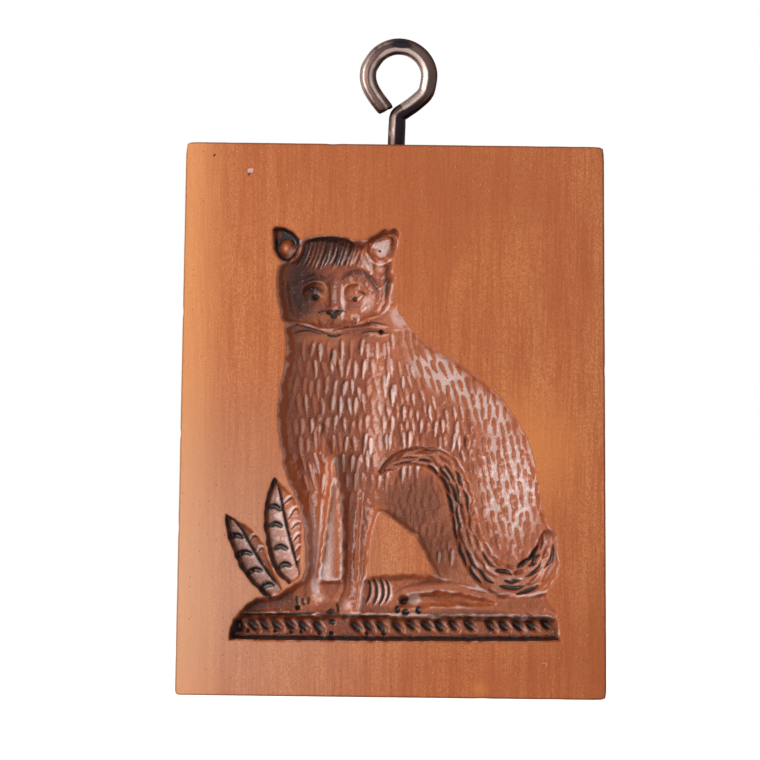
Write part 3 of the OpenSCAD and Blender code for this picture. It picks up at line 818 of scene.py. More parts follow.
    def hair(
        self, fur: Fur, bite: bool, x: float, z: float, strength: float, facet: float, rng: np.random.Generator
    ) -> Stroke:
        """One hair.

        Args:
            fur: The part of the coat it belongs to.
            bite: Whether it bites the ground painted pale with sheen instead of being painted pale itself.
            x: Its middle across.
            z: Its middle up.
            strength: How strongly it is cut.
            facet: Slope of its bright facet.
            rng: Source of the small differences between hairs.

        Returns:
            The stroke that cuts it.
        """
        lean = math.radians(self.lean(x, z) + rng.normal(0, 5))
        half = fur.length * rng.uniform(0.36, 0.58)
        dx, dz = -math.sin(lean) * half, math.cos(lean) * half
        points = ((x + dx, z + dz), (x + rng.normal(0, 0.1), z), (x - dx, z - dz))
        width = (self.bite_half_width if bite else fur.half_width) * rng.uniform(0.8, 1.15)
        full = min(strength, 1)
        depth = strength * facet * width * (1 - self.fur_keel)
        # A shining hair has its facet painted pale as a sheen and its steep wall darkened as painted shade.
        wear = self.bite_into_sheen if bite else full * rng.uniform(0.75, 1)
        dark = self.fur_wall_shade * full if wear > 0 else self.bite_glaze
        return Stroke(points, width, depth, dark, 2.0, self.fur_keel, self.fur_entry, wear)


@dataclass
class CatLegs:
    """The paws, the hind foot and the ground that they stand on."""

    slope: float = 2.2
    hind_foot: tuple[Point, ...] = (
        (0.4, 17.6), (1.3, 19.2), (3.4, 20.0), (7.0, 20.6), (11.0, 20.6), (15.0, 20.0), (19.5, 18.6),
        (20.6, 17.3), (18.5, 16.3), (13.0, 16.0), (7.0, 15.8), (3.0, 15.5), (1.0, 15.9),
    )
    foot_run: tuple[Knuckle, ...] = ((2.6, 17.6, 2.2), (8.0, 18.4, 2.3), (15.0, 18.2, 1.9), (20.0, 17.4, 1.3))
    foot_depth: float = 1.5
    ground: tuple[Point, ...] = (
        (-28.6, 14.8), (-28.2, 15.6), (-27.0, 17.0), (-25.2, 18.1), (-23.0, 18.4), (-20.6, 19.4),
        (-18.2, 20.8), (-16.0, 22.0), (-9.0, 22.0), (-4.8, 22.4), (0.0, 22.7), (4.0, 22.9), (8.0, 22.8),
        (12.0, 22.0), (20.0, 20.0), (29.0, 20.0), (28.9, 18.8), (29.8, 17.4), (30.8, 16.2), (30.7, 14.8),
    )
    ground_depth: float = 2.0
    ground_slope: float = 1.8
    panel: tuple[Point, ...] = (
        (-13.4, 21.8), (-12.9, 26.4), (-12.4, 30.0), (-11.8, 35.0), (-11.3, 40.0), (-11.0, 43.0), (-10.4, 40.0),
        (-9.8, 36.0), (-9.4, 30.0), (-9.3, 21.8),
    )
    panel_slope: float = 1.5
    panel_depth: tuple[Point, ...] = ((-13.2, 0.95), (-11.4, 0.5), (-9.8, 0.65))
    panel_sheen: tuple[Point, ...] = ((-13.0, 0.95), (-11.4, 0.78), (-9.8, 0.42))
    toes: tuple[Pit, ...] = (
        Pit((-15.4, 18.2), (2.6, 1.7), 0.5),
        Pit((-9.4, 15.8), (2.7, 1.9), 0.6),
        Pit((-17.4, 16.4), (0.55, 0.55), 0.8, 1.0),
        Pit((-11.3, 15.6), (1.1, 0.8), 0.4, 0.75, 30),
        Pit((-11.0, 13.8), (0.75, 0.6), 0.5, 1.0),
        Pit((-8.6, 14.6), (0.9, 0.6), 0.3, 0.5),
        Pit((1.1, 16.3), (0.6, 0.9), 0.5, 0.9),
        Pit((2.6, 15.8), (0.85, 0.8), 0.6, 1.0),
        Pit((5.0, 16.2), (0.65, 0.9), 0.6, 1.0),
        Pit((2.2, 18.2), (1.2, 1.1), 0.5, 0.6),
        Pit((4.4, 17.8), (1.3, 1.2), 0.5),
        dark_oval((-25.4, 16.4), (4.4, 2.6), 0.54, 15),
        dark_oval((-20.0, 17.4), (5.0, 2.6), 0.5, 12),
        # The pale ovals are painted highlights on the paws.
        sheen_oval((-14.2, 20.4), (1.5, 3.2), 0.86, 8),
        sheen_oval((-13.4, 18.6), (2.2, 1.2), 0.72, -25),
        sheen_oval((-8.4, 17.0), (1.4, 2.0), 0.74, 10),
        sheen_oval((4.2, 18.2), (1.8, 1.8), 0.95),
        dark_oval((-2.0, 16.2), (5.0, 1.0), 0.45),
        dark_oval((14.0, 15.9), (12.0, 1.0), 0.45),
        dark_oval((24.0, 17.4), (6.0, 1.8), 0.3),
        dark_oval((-7.0, 18.6), (1.6, 3.0), 0.3),
        dark_oval((3.4, 36.0), (8.8, 7.8), 0.46),
        dark_oval((8.6, 29.0), (4.8, 7.2), 0.4, 20),
    )
    marks: tuple[Stroke, ...] = (
        Stroke(((-17.6, 18.5), (-17.5, 17.6), (-17.3, 17.0)), 0.45, 0.4, 1.0),
        Stroke(((-16.5, 18.2), (-16.4, 17.4), (-16.2, 16.9)), 0.4, 0.4, 0.9),
        Stroke(((-15.3, 18.4), (-15.4, 17.6), (-15.5, 17.0)), 0.38, 0.4, 0.9),
        Stroke(((-10.2, 17.4), (-9.9, 16.4), (-10.0, 15.4)), 0.4, 0.4, 0.75),
        # Folds between the toes, each with its facet painted pale as a sheen.
        Stroke(((-4.3, 21.9), (-3.8, 20.6), (-3.9, 18.8), (-4.7, 17.2)), 0.55, 0.5, 0.9, keel=-0.2, wear=0.8),
        Stroke(((-3.3, 22.1), (-2.6, 20.5), (-2.6, 18.6), (-3.4, 16.9)), 0.6, 0.5, 0.95, keel=-0.2, wear=0.85),
        Stroke(((-2.1, 22.1), (-1.4, 20.6), (-1.4, 18.6), (-2.3, 16.9)), 0.6, 0.5, 0.9, keel=-0.2, wear=0.9),
        Stroke(((-1.1, 22.0), (-0.4, 20.6), (-0.4, 18.8), (-1.2, 17.2)), 0.55, 0.5, 0.75, keel=-0.2, wear=0.85),
        # Painted sheen down both legs, then painted shade on the right leg's two sides.
        Stroke(((-13.2, 37.0), (-13.5, 31.0), (-14.0, 25.0), (-14.6, 20.4)), 0.75, 0.0, 0.0, 6.0, -0.9, wear=0.95),
        Stroke(((-6.6, 42.0), (-6.5, 34.0), (-6.7, 27.0), (-7.1, 19.0)), 0.5, 0.0, 0.0, 6.0, -0.9, wear=0.75),
        Stroke(((-5.0, 35.0), (-5.4, 29.0), (-5.7, 21.0)), 0.9, 0.0, 0.4, 8.0),
        Stroke(((-8.9, 36.0), (-8.8, 29.0), (-9.0, 21.0)), 0.8, 0.0, 0.35, 8.0),
        Stroke(((5.0, 18.9), (9.0, 18.5), (14.0, 17.5), (18.4, 16.6)), 0.6, 0.35, 0.2),
        Stroke(((0.6, 19.0), (2.0, 20.2), (5.0, 21.0), (9.0, 21.4), (13.0, 21.2), (15.5, 20.6)), 0.6, 0.35, 0.4),
        # A ridge whose facet is painted pale as a highlight.
        Stroke(((-5.2, 22.4), (-5.6, 19.6), (-6.1, 15.4)), 0.5, -0.6, keel=-0.2, wear=0.9),
        Stroke(((-11.4, 37.6), (-11.9, 34.0), (-12.5, 29.0), (-13.1, 23.0)), 0.35, -0.25),
    )

    def carve(self, relief: Relief) -> None:
        """Sinks the ground, the panel between the legs and the hind foot.

        Args:
            relief: The carving so far.
        """
        loop = np.asarray(self.ground)
        relief.sink(loop, self.ground_depth, self.ground_slope, relief.window(loop, ROOM))
        loop, window = relief.outline(self.panel)
        inside = relief.sink(loop, np.interp(relief.x[window], *zip(*self.panel_depth)), self.panel_slope, window)
        # The panel painted pale as a sheen, most on its left.
        relief.paint_pale(np.interp(relief.x[window], *zip(*self.panel_sheen)) * np.clip(2 * inside, 0, 1), window)
        loop, window = relief.outline(self.hind_foot)
        bowl = np.clip(relief.limb(self.foot_run, window), -0.4, None)
        relief.sink(loop, self.ground_depth + self.foot_depth * bowl, self.slope, window)

    def finish(self, relief: Relief) -> None:
        """Cuts the toes and the folds, and lays the painted sheen and shade on the legs and paws."""
        relief.work(self.toes + self.marks)


@dataclass
class CatTail:
    """The tail, laid over the haunch and round below it, in long locks."""

    run: tuple[Knuckle, ...] = (
        (-2.2, 41.8, 0.5), (-0.6, 43.2, 1.1), (1.4, 44.2, 1.5), (4.5, 44.8, 1.9), (7.6, 44.2, 2.1),
        (10.2, 42.2, 2.2), (12.0, 38.8, 2.3), (13.0, 34.8, 2.4), (13.9, 30.6, 2.5), (15.4, 26.8, 2.8),
        (17.8, 23.6, 3.1), (20.8, 21.9, 3.2), (24.0, 22.0, 3.2), (26.8, 24.0, 2.9), (28.4, 27.0, 2.3),
        (28.9, 30.0, 1.5),
    )
    rise: float = 1.2
    depth: float = 3.2
    lanes: tuple[float, ...] = (-0.8, -0.42, 0.0, 0.42, 0.8)
    lock_length: float = 4.2
    lock_pitch: float = 4.3
    lock_width: float = 0.19
    lock_depth: float = 0.55
    lock_keel: float = 0.1
    lock_seed: int = 3
    sheen: float = 0.6
    dark_share: float = 0.5
    glint_shift: Point = (0.34, 0.3)

    def carve(self, relief: Relief) -> np.ndarray:
        """Sinks the tail and paints it pale as a sheen.

        Args:
            relief: The carving so far.

        Returns:
            Nearness of each place on the face to the tail, 1 at its edge.
        """
        line = smooth_run(self.run, step=0.8)
        window = relief.window(line, 5)
        near = np.full(relief.x.shape, FAR)
        near[window] = relief.reach(line, window).near
        form = np.clip(1 - near**4, 0, None)
        relief.depth = np.maximum(relief.depth + self.rise * form, self.depth * form)
        # Paints the whole tail pale as a sheen.
        relief.wear = np.maximum(relief.wear * (near > 1), self.sheen * np.clip(form * 2, 0, 1))
        return near

    def comb(self, relief: Relief) -> None:
        """Cuts the long locks in lanes along the tail, staggered from lane to lane.

        Args:
            relief: The carving so far.
        """
        rng = np.random.default_rng(self.lock_seed)
        line = smooth_run(self.run, step=0.5)
        length, _, left = bearings(line[:, :2])
        for lane, offset in enumerate(self.lanes):
            path = line[:, :2] + left * (line[:, 2] * offset)[:, None]
            start = 0.6 + lane % 2 * self.lock_pitch / 2
            while start + self.lock_length < length[-1] + 1.5:
                spots = np.linspace(start, start + self.lock_length * rng.uniform(0.7, 1.15), 4)
                sway = rng.normal(0, 0.2, (4, 2))
                points = tuple(
                    (float(np.interp(s, length, path[:, 0]) + dx), float(np.interp(s, length, path[:, 1]) + dz))
                    for s, (dx, dz) in zip(spots, sway)
                )
                width = self.lock_width * float(np.interp(start, length, line[:, 2])) * rng.uniform(0.7, 1.2)
                inner = 0.25 if offset < 0 else -0.15
                dark = rng.uniform(0.75, 1) if rng.uniform() < self.dark_share + inner else rng.uniform(0.1, 0.4)
                relief.cut(Stroke(points, width, self.lock_depth, dark, 2.5, self.lock_keel, wear=-0.8))
                # Beside each lock, a painted glint.
                relief.cut(glint(shifted(points, self.glint_shift), 0.8 * width, 0.15, rng.uniform(0.5, 1)))
                start += self.lock_pitch * rng.uniform(0.85, 1.12)


@dataclass(frozen=True)
class Leaf:
    """One leaf with a midrib, dark bars on its left half and veins on its right."""

    left: tuple[Point, ...]
    midrib: tuple[Point, ...]
    right: tuple[Point, ...]
    bars: tuple[tuple[Point, Point], ...]
    veins: tuple[tuple[Point, ...], ...]
    shade: float = 0.0
    edge_depth: float = 2.3
    rib_depth: float = 0.9
    right_depth: float = 1.6
    right_rise: float = 0.7
    slope: float = 2.6

    def carve(self, relief: Relief) -> None:
        """Sinks the two halves, each tilted down to its left, and cuts bars, rib and veins.

        Args:
            relief: The carving so far.
        """
        left, rib, right = (smooth_run(p) for p in (self.left, self.midrib, self.right))
        loop = np.concatenate([left, right[:0:-1]])
        window = relief.window(loop, ROOM)
        gaps = [relief.reach(np.column_stack([p, np.ones(len(p))]), window).near for p in (left, rib, right)]
        left_half = relief.inside(np.concatenate([left, rib[:0:-1]]), window) > 0
        share = np.where(left_half, gaps[0] / (gaps[0] + gaps[1] + 1e-6), gaps[1] / (gaps[1] + gaps[2] + 1e-6))
        deep = np.where(left_half, self.edge_depth, self.right_depth)
        shallow = np.where(left_half, self.rib_depth, self.right_rise)
        inside = relief.sink(loop, deep + (shallow - deep) * share, self.slope, window)
        # Painted shade along its deep left edge, the wall turned from the light.
        relief.darken(np.where(inside > -0.1, np.clip(1.4 - gaps[0] / 0.62, 0, 1), 0), window)
        relief.darken(self.shade * np.clip(2 * inside, 0, 1) * np.where(left_half, 0.8, 1), window)
        # Painted sheen on the panels of its left half and near its right edge.
        painted_sheen = np.where(left_half, np.clip(1.6 * gaps[0] - 0.9, 0, 0.74), np.clip(gaps[2] - 0.4, 0, 0.6))
        relief.paint_pale(painted_sheen * (inside > 0.3), window)
        for (ax, az), (bx, bz) in self.bars:
            mid = ((ax + bx) / 2 - 0.1, (az + bz) / 2 + 0.6)
            relief.cut(Stroke(((ax, az), mid, (bx, bz)), 0.82, 0.55, 1.0))
        relief.cut(Stroke(self.midrib, 0.4, 0.5, 0.9))
        for vein in self.veins:
            # Each vein a ridge painted pale as a highlight, with a dark line below it.
            relief.cut(Stroke(vein, 0.42, -0.4, taper=3.0, keel=-0.6, wear=1.0))
            relief.cut(Stroke(shifted(vein, (0.0, -0.5)), 0.3, 0.25, 0.55, 2.5))


@dataclass
class Plinth:
    """The plinth that the cat sits on, edged with slanting beads."""

    outline: tuple[Point, ...] = (
        (-30.0, 10.2), (-29.95, 11.6), (-29.6, 13.0), (-28.8, 14.7), (-28.1, 15.5), (30.6, 15.5), (31.0, 14.6),
        (31.2, 12.6), (31.5, 10.7), (10.0, 10.35),
    )
    depth: float = 3.0
    slope: float = 3.0
    beads: tuple[Point, ...] = (
        (-28.2, 13.0), (-25.5, 13.1), (-23.4, 13.2), (-21.2, 13.2), (-18.6, 13.2), (-16.3, 13.1), (-13.5, 13.0),
        (-6.4, 13.0), (-4.2, 13.2), (-1.8, 13.2), (1.2, 13.1), (3.8, 13.4), (6.7, 13.3), (9.0, 13.3), (11.6, 13.5),
        (14.6, 13.5), (18.5, 13.5), (20.9, 13.5), (23.6, 13.5), (26.0, 13.6), (28.7, 13.9),
    )
    bead_half: Point = (1.95, 1.08)
    bead_turn: float = -48.0
    bead_depth: float = 1.0
    bead_seed: int = 8
    # Painted shade at the plinth's left end.
    left_end: Pit = dark_oval((-29.2, 12.6), (1.9, 2.8), 0.7)
    holes: tuple[Point, ...] = (
        (-26.6, 12.0), (-21.5, 12.1), (-18.5, 11.9), (-16.7, 12.0), (-13.3, 11.8), (-11.1, 11.7), (-4.5, 11.8),
        (-1.4, 11.8),
    )
    foot_line: tuple[Point, ...] = ((-29.8, 10.75), (-15.0, 10.8), (0.0, 10.85), (15.0, 11.05), (31.3, 11.2))
    top_lines: tuple[tuple[Point, ...], ...] = (
        ((-28.0, 15.1), (-22.0, 15.2), (-17.0, 15.3), (-14.2, 15.5)),
        ((-14.2, 15.2), (-9.0, 15.2), (-5.0, 15.0), (0.0, 15.15)),
        ((6.5, 15.25), (14.0, 15.15), (22.0, 15.15), (30.4, 15.25)),
    )

    def carve(self, relief: Relief) -> None:
        """Sinks the plinth with its beads, lines and holes.

        Args:
            relief: The carving so far.
        """
        loop = np.asarray(self.outline)
        window = relief.window(loop, ROOM)
        inside = relief.sink(loop, self.depth, self.slope, window)
        relief.darken(0.36 * np.clip(inside / 0.5, 0, 1), window)
        relief.press(self.left_end)
        rng = np.random.default_rng(self.bead_seed)
        length, width = self.bead_half
        for x, z in self.beads:
            turn = self.bead_turn + rng.normal(0, 4)
            relief.press(Pit((x, z), self.bead_half, self.bead_depth, 0.0, turn))
            # Each bead gets painted shade over its lower left and a painted highlight along its right rim.
            relief.press(dark_oval((x - 0.25, z - 0.1), (0.85 * length, 0.75 * width), rng.uniform(0.75, 1), turn))
            relief.press(sheen_oval((x + 0.75, z + 0.45), (0.7 * length, 0.34), rng.uniform(0.6, 1), turn))
        for at in self.holes:
            relief.press(Pit(at, (0.42, 0.42), 0.8, 1.0))
        relief.cut(Stroke(self.foot_line, 0.6, 0.6, 1.0, 12.0))
        # The lines along the top darken the wall there as painted shade.
        for i, line in enumerate(self.top_lines):
            relief.cut(Stroke(line, 0.6 if i else 0.42, 0.45, 0.66 if i else 0.9, 8.0, wear=-0.6))


@dataclass
class Carving:
    """The whole carving: cat, leaves and plinth."""

    head: CatHead
    body: CatBody
    legs: CatLegs
    tail: CatTail
    leaves: tuple[Leaf, ...]
    plinth: Plinth
    head_room: float = 3.0
    skin_gap: float = 0.3
    tail_gap: float = 1.1
    head_gap: float = 0.8
    cavity_spread: float = 3.6
    cavity_floor: float = 0.1
    pooling: float = 0.5
    rubbing: float = 1.6
    full_depth: float = 0.3
    ripples: tuple[Point, ...] = ((1.2, 0.026), (3.0, 0.042))
    ripple_seed: int = 21

    def carve(self, relief: Relief) -> None:
        """Works the whole carving into a face, from the ground up to the head.

        Args:
            relief: The uncarved face.
        """
        self.legs.carve(relief)
        self.plinth.carve(relief)
        for leaf in self.leaves:
            leaf.carve(relief)
        body = self.body.carve(relief)
        near = self.tail.carve(relief)
        head, window = relief.outline(self.head.outline, self.head_room)
        off_head = np.full(relief.x.shape, FAR)
        off_head[window] = -relief.inside(head, window)
        off_tail = 2 * (near - self.tail_gap)
        self.body.comb(relief, np.minimum.reduce([body - self.skin_gap, off_tail, off_head - self.head_gap]))
        self.tail.comb(relief)
        self.legs.finish(relief)
        self.head.carve(relief)
        relief.depth = np.clip(soften(relief.depth, 0.5), 0, None)
        rng = np.random.default_rng(self.ripple_seed)
        for spread, rise in self.ripples:
            wave = soften(rng.normal(0, 1, relief.depth.shape), spread)
            relief.depth += rise * wave / wave.std() * np.clip(relief.depth, 0, 1)
        cavity = relief.depth - soften(relief.depth, self.cavity_spread)
        pooled, proud = (np.clip(side * cavity - self.cavity_floor, 0, None) for side in (1, -1))
        relief.glaze = np.clip(relief.glaze + self.pooling * pooled, 0, 1)
        relief.wear = np.clip(relief.wear + self.rubbing * proud, 0, 1)
        sunk = np.clip(relief.depth / self.full_depth, 0, 1)
        relief.glaze, relief.wear = relief.glaze * sunk, relief.wear * sunk


LEAVES = (
    Leaf(
        left=((-31.0, 33.7), (-30.9, 31.0), (-30.2, 28.3), (-29.0, 25.5), (-27.2, 22.4), (-25.0, 19.8), (-22.6, 18.2)),
        midrib=((-31.0, 33.7), (-28.5, 31.6), (-26.3, 28.0), (-23.8, 24.0), (-21.5, 21.0), (-20.2, 19.6)),
        right=(
            (-31.0, 33.7), (-29.3, 32.9), (-27.5, 31.8), (-25.4, 30.3), (-24.0, 28.5), (-23.0, 26.0), (-21.5, 22.5),
            (-20.0, 19.6),
        ),
        bars=(
            ((-30.2, 29.2), (-27.6, 29.2)), ((-28.9, 25.9), (-25.8, 26.2)), ((-26.8, 22.6), (-24.0, 23.1)),
            ((-24.2, 19.8), (-21.8, 20.4)),
        ),
        veins=(
            ((-26.6, 28.6), (-26.0, 29.8), (-25.0, 30.0), (-24.6, 29.2)), ((-25.2, 26.4), (-24.6, 27.6), (-23.8, 27.6)),
        ),
        shade=0.5,
    ),
    Leaf(
        left=(
            (-22.0, 40.3), (-22.8, 38.6), (-23.6, 36.0), (-23.9, 33.0), (-23.6, 30.0), (-23.0, 27.0), (-22.0, 24.0),
            (-20.6, 22.0), (-19.0, 20.6),
        ),
        midrib=(
            (-22.0, 40.3), (-21.0, 38.0), (-20.4, 35.0), (-19.5, 31.0), (-18.4, 27.0), (-17.5, 23.8), (-17.2, 22.2),
        ),
        right=(
            (-22.0, 40.3), (-20.8, 39.3), (-19.5, 38.2), (-18.2, 36.4), (-17.3, 34.6), (-16.8, 30.0), (-16.9, 25.0),
            (-17.1, 22.0),
        ),
        bars=(
            ((-22.9, 34.9), (-20.7, 34.4)), ((-22.8, 31.4), (-20.4, 31.4)), ((-21.9, 27.2), (-19.4, 27.2)),
            ((-20.9, 23.8), (-18.7, 24.1)),
        ),
        veins=(
            ((-20.3, 35.9), (-19.2, 37.0), (-18.3, 37.2)), ((-19.4, 33.0), (-18.4, 34.9), (-17.2, 35.2)),
            ((-18.9, 31.1), (-18.0, 32.3), (-17.0, 32.4)), ((-18.5, 28.9), (-17.6, 30.2), (-16.9, 30.2)),
            ((-18.0, 27.0), (-17.4, 28.0), (-16.9, 28.1)), ((-17.6, 25.0), (-17.2, 25.9), (-16.9, 26.0)),
        ),
    ),
)


class Value:
    """A shader socket that takes part in arithmetic."""

    def __init__(self, sheet: "Sheet", socket: bpy.types.NodeSocket) -> None:
        """Wraps an output socket of a node sheet."""
        self.sheet, self.socket = sheet, socket

    def math(self, operation: str, left: "Value | float", right: "Value | float") -> "Value":
        """Adds one Math node.

        Args:
            operation: What the node does.
            left: Its first value.
            right: Its second value.

        Returns:
            The result.
        """
        return self.sheet.value("ShaderNodeMath", {"operation": operation}, {0: left, 1: right})

    def __add__(self, other: "Value | float") -> "Value":
        """Sum."""
        return self.math("ADD", self, other)

    def __radd__(self, other: float) -> "Value":
        """Sum with a number in front."""
        return self.math("ADD", other, self)

    def __sub__(self, other: "Value | float") -> "Value":
        """Difference."""
        return self.math("SUBTRACT", self, other)

    def __rsub__(self, other: float) -> "Value":
        """Difference from a number in front."""
        return self.math("SUBTRACT", other, self)

    def __mul__(self, other: "Value | float") -> "Value":
        """Product."""
        return self.math("MULTIPLY", self, other)

    def __rmul__(self, other: float) -> "Value":
        """Product with a number in front."""
        return self.math("MULTIPLY", other, self)

    def __gt__(self, other: "Value | float") -> "Value":
        """1 where this is larger, otherwise 0."""
        return self.math("GREATER_THAN", self, other)

    def __lt__(self, other: "Value | float") -> "Value":
        """1 where this is smaller, otherwise 0."""
        return self.math("LESS_THAN", self, other)


class Sheet:
    """The nodes of one material or world."""

    MIX_FACTOR, MIX_A, MIX_B, MIX_RESULT = 0, 6, 7, 2

    def __init__(self, tree: bpy.types.NodeTree) -> None:
        """Starts from an empty sheet."""
        self.tree = tree
        tree.nodes.clear()

    @classmethod
    def of_material(cls, name: str) -> tuple[bpy.types.Material, "Sheet"]:
        """Makes a material with an empty sheet.

        Args:
            name: Name of the material.

        Returns:
            The material and its sheet.
        """
        material = bpy.data.materials.new(name)
        material.use_nodes = True
        return material, cls(material.node_tree)

    def node(self, kind: str, settings: dict | None = None, inputs: dict | None = None) -> bpy.types.Node:
        """Adds one node.

        Args:
            kind: Type of the node.
            settings: Its settings, set first.
            inputs: Values or links of its sockets, by name or number.

        Returns:
            The node.
        """
        node = self.tree.nodes.new(kind)
        for name, value in (settings or {}).items():
            setattr(node, name, value)
        for name, value in (inputs or {}).items():
            if isinstance(value, Value):
                self.tree.links.new(value.socket, node.inputs[name])
            else:
                node.inputs[name].default_value = value
        return node

    def value(
        self, kind: str, settings: dict | None = None, inputs: dict | None = None, output: str | int = 0
    ) -> Value:
        """Adds one node and gives one of its outputs."""
        return Value(self, self.node(kind, settings, inputs).outputs[output])

    def mix(self, factor: Value | float, a: Value | Colour, b: Value | Colour) -> Value:
        """Mixes two colours.

        Args:
            factor: Share of the second colour.
            a: First colour.
            b: Second colour.

        Returns:
            The mixed colour.
        """
        settings = {"data_type": "RGBA", "clamp_factor": True}
        inputs = {self.MIX_FACTOR: factor, self.MIX_A: a, self.MIX_B: b}
        return self.value("ShaderNodeMix", settings, inputs, self.MIX_RESULT)

    def layer(self, layer: Layer) -> Value:
        """What the mesh carries under that name."""
        return self.value("ShaderNodeAttribute", {"attribute_name": layer.value}, output="Fac")

    def place(self, scale: Triple = (1, 1, 1), turn: Triple = (0, 0, 0)) -> Value:
        """Object coordinates, turned and scaled."""
        spot = self.value("ShaderNodeTexCoord", output="Object")
        return self.value("ShaderNodeMapping", None, {"Vector": spot, "Rotation": turn, "Scale": scale})

    def noise(self, where: Value, scale: float, detail: float = 3.0, rough: float = 0.5) -> Value:
        """Noise from 0 to 1."""
        inputs = {"Vector": where, "Scale": scale, "Detail": detail, "Roughness": rough}
        return self.value("ShaderNodeTexNoise", None, inputs, "Fac")

    def band(self, value: Value, low: float, high: float) -> Value:
        """Carries a value from low and high to 0 and 1, held there outside."""
        settings = {"interpolation_type": "SMOOTHSTEP", "clamp": True}
        return self.value("ShaderNodeMapRange", settings, {"Value": value, "From Min": low, "From Max": high})

    def spot(self, where: Value, at: Point, radius: float) -> Value:
        """1 at a place on the face, falling to 0 at a radius.

        Args:
            where: Object coordinates.
            at: The place.
            radius: How far it reaches.

        Returns:
            The share.
        """
        middle = (at[0] * MM, FACE_Y, at[1] * MM)
        gap = self.value("ShaderNodeVectorMath", {"operation": "DISTANCE"}, {0: where, 1: middle}, "Value")
        return self.band(gap, radius * MM, 0)

    def bump(self, height: Value, distance: float, strength: float) -> Value:
        """Normal of a surface with small heights on it."""
        inputs = {"Height": height, "Distance": distance, "Strength": strength}
        return self.value("ShaderNodeBump", None, inputs)

    def surface(self, inputs: dict) -> None:
        """Ends the sheet in one Principled surface."""
        shader = self.value("ShaderNodeBsdfPrincipled", None, inputs)
        self.node("ShaderNodeOutputMaterial", None, {"Surface": shader})


@dataclass(frozen=True)
class Blush:
    """A round place on the face that leans towards another colour."""

    at: Point
    radius: float
    share: float
    colour: Colour


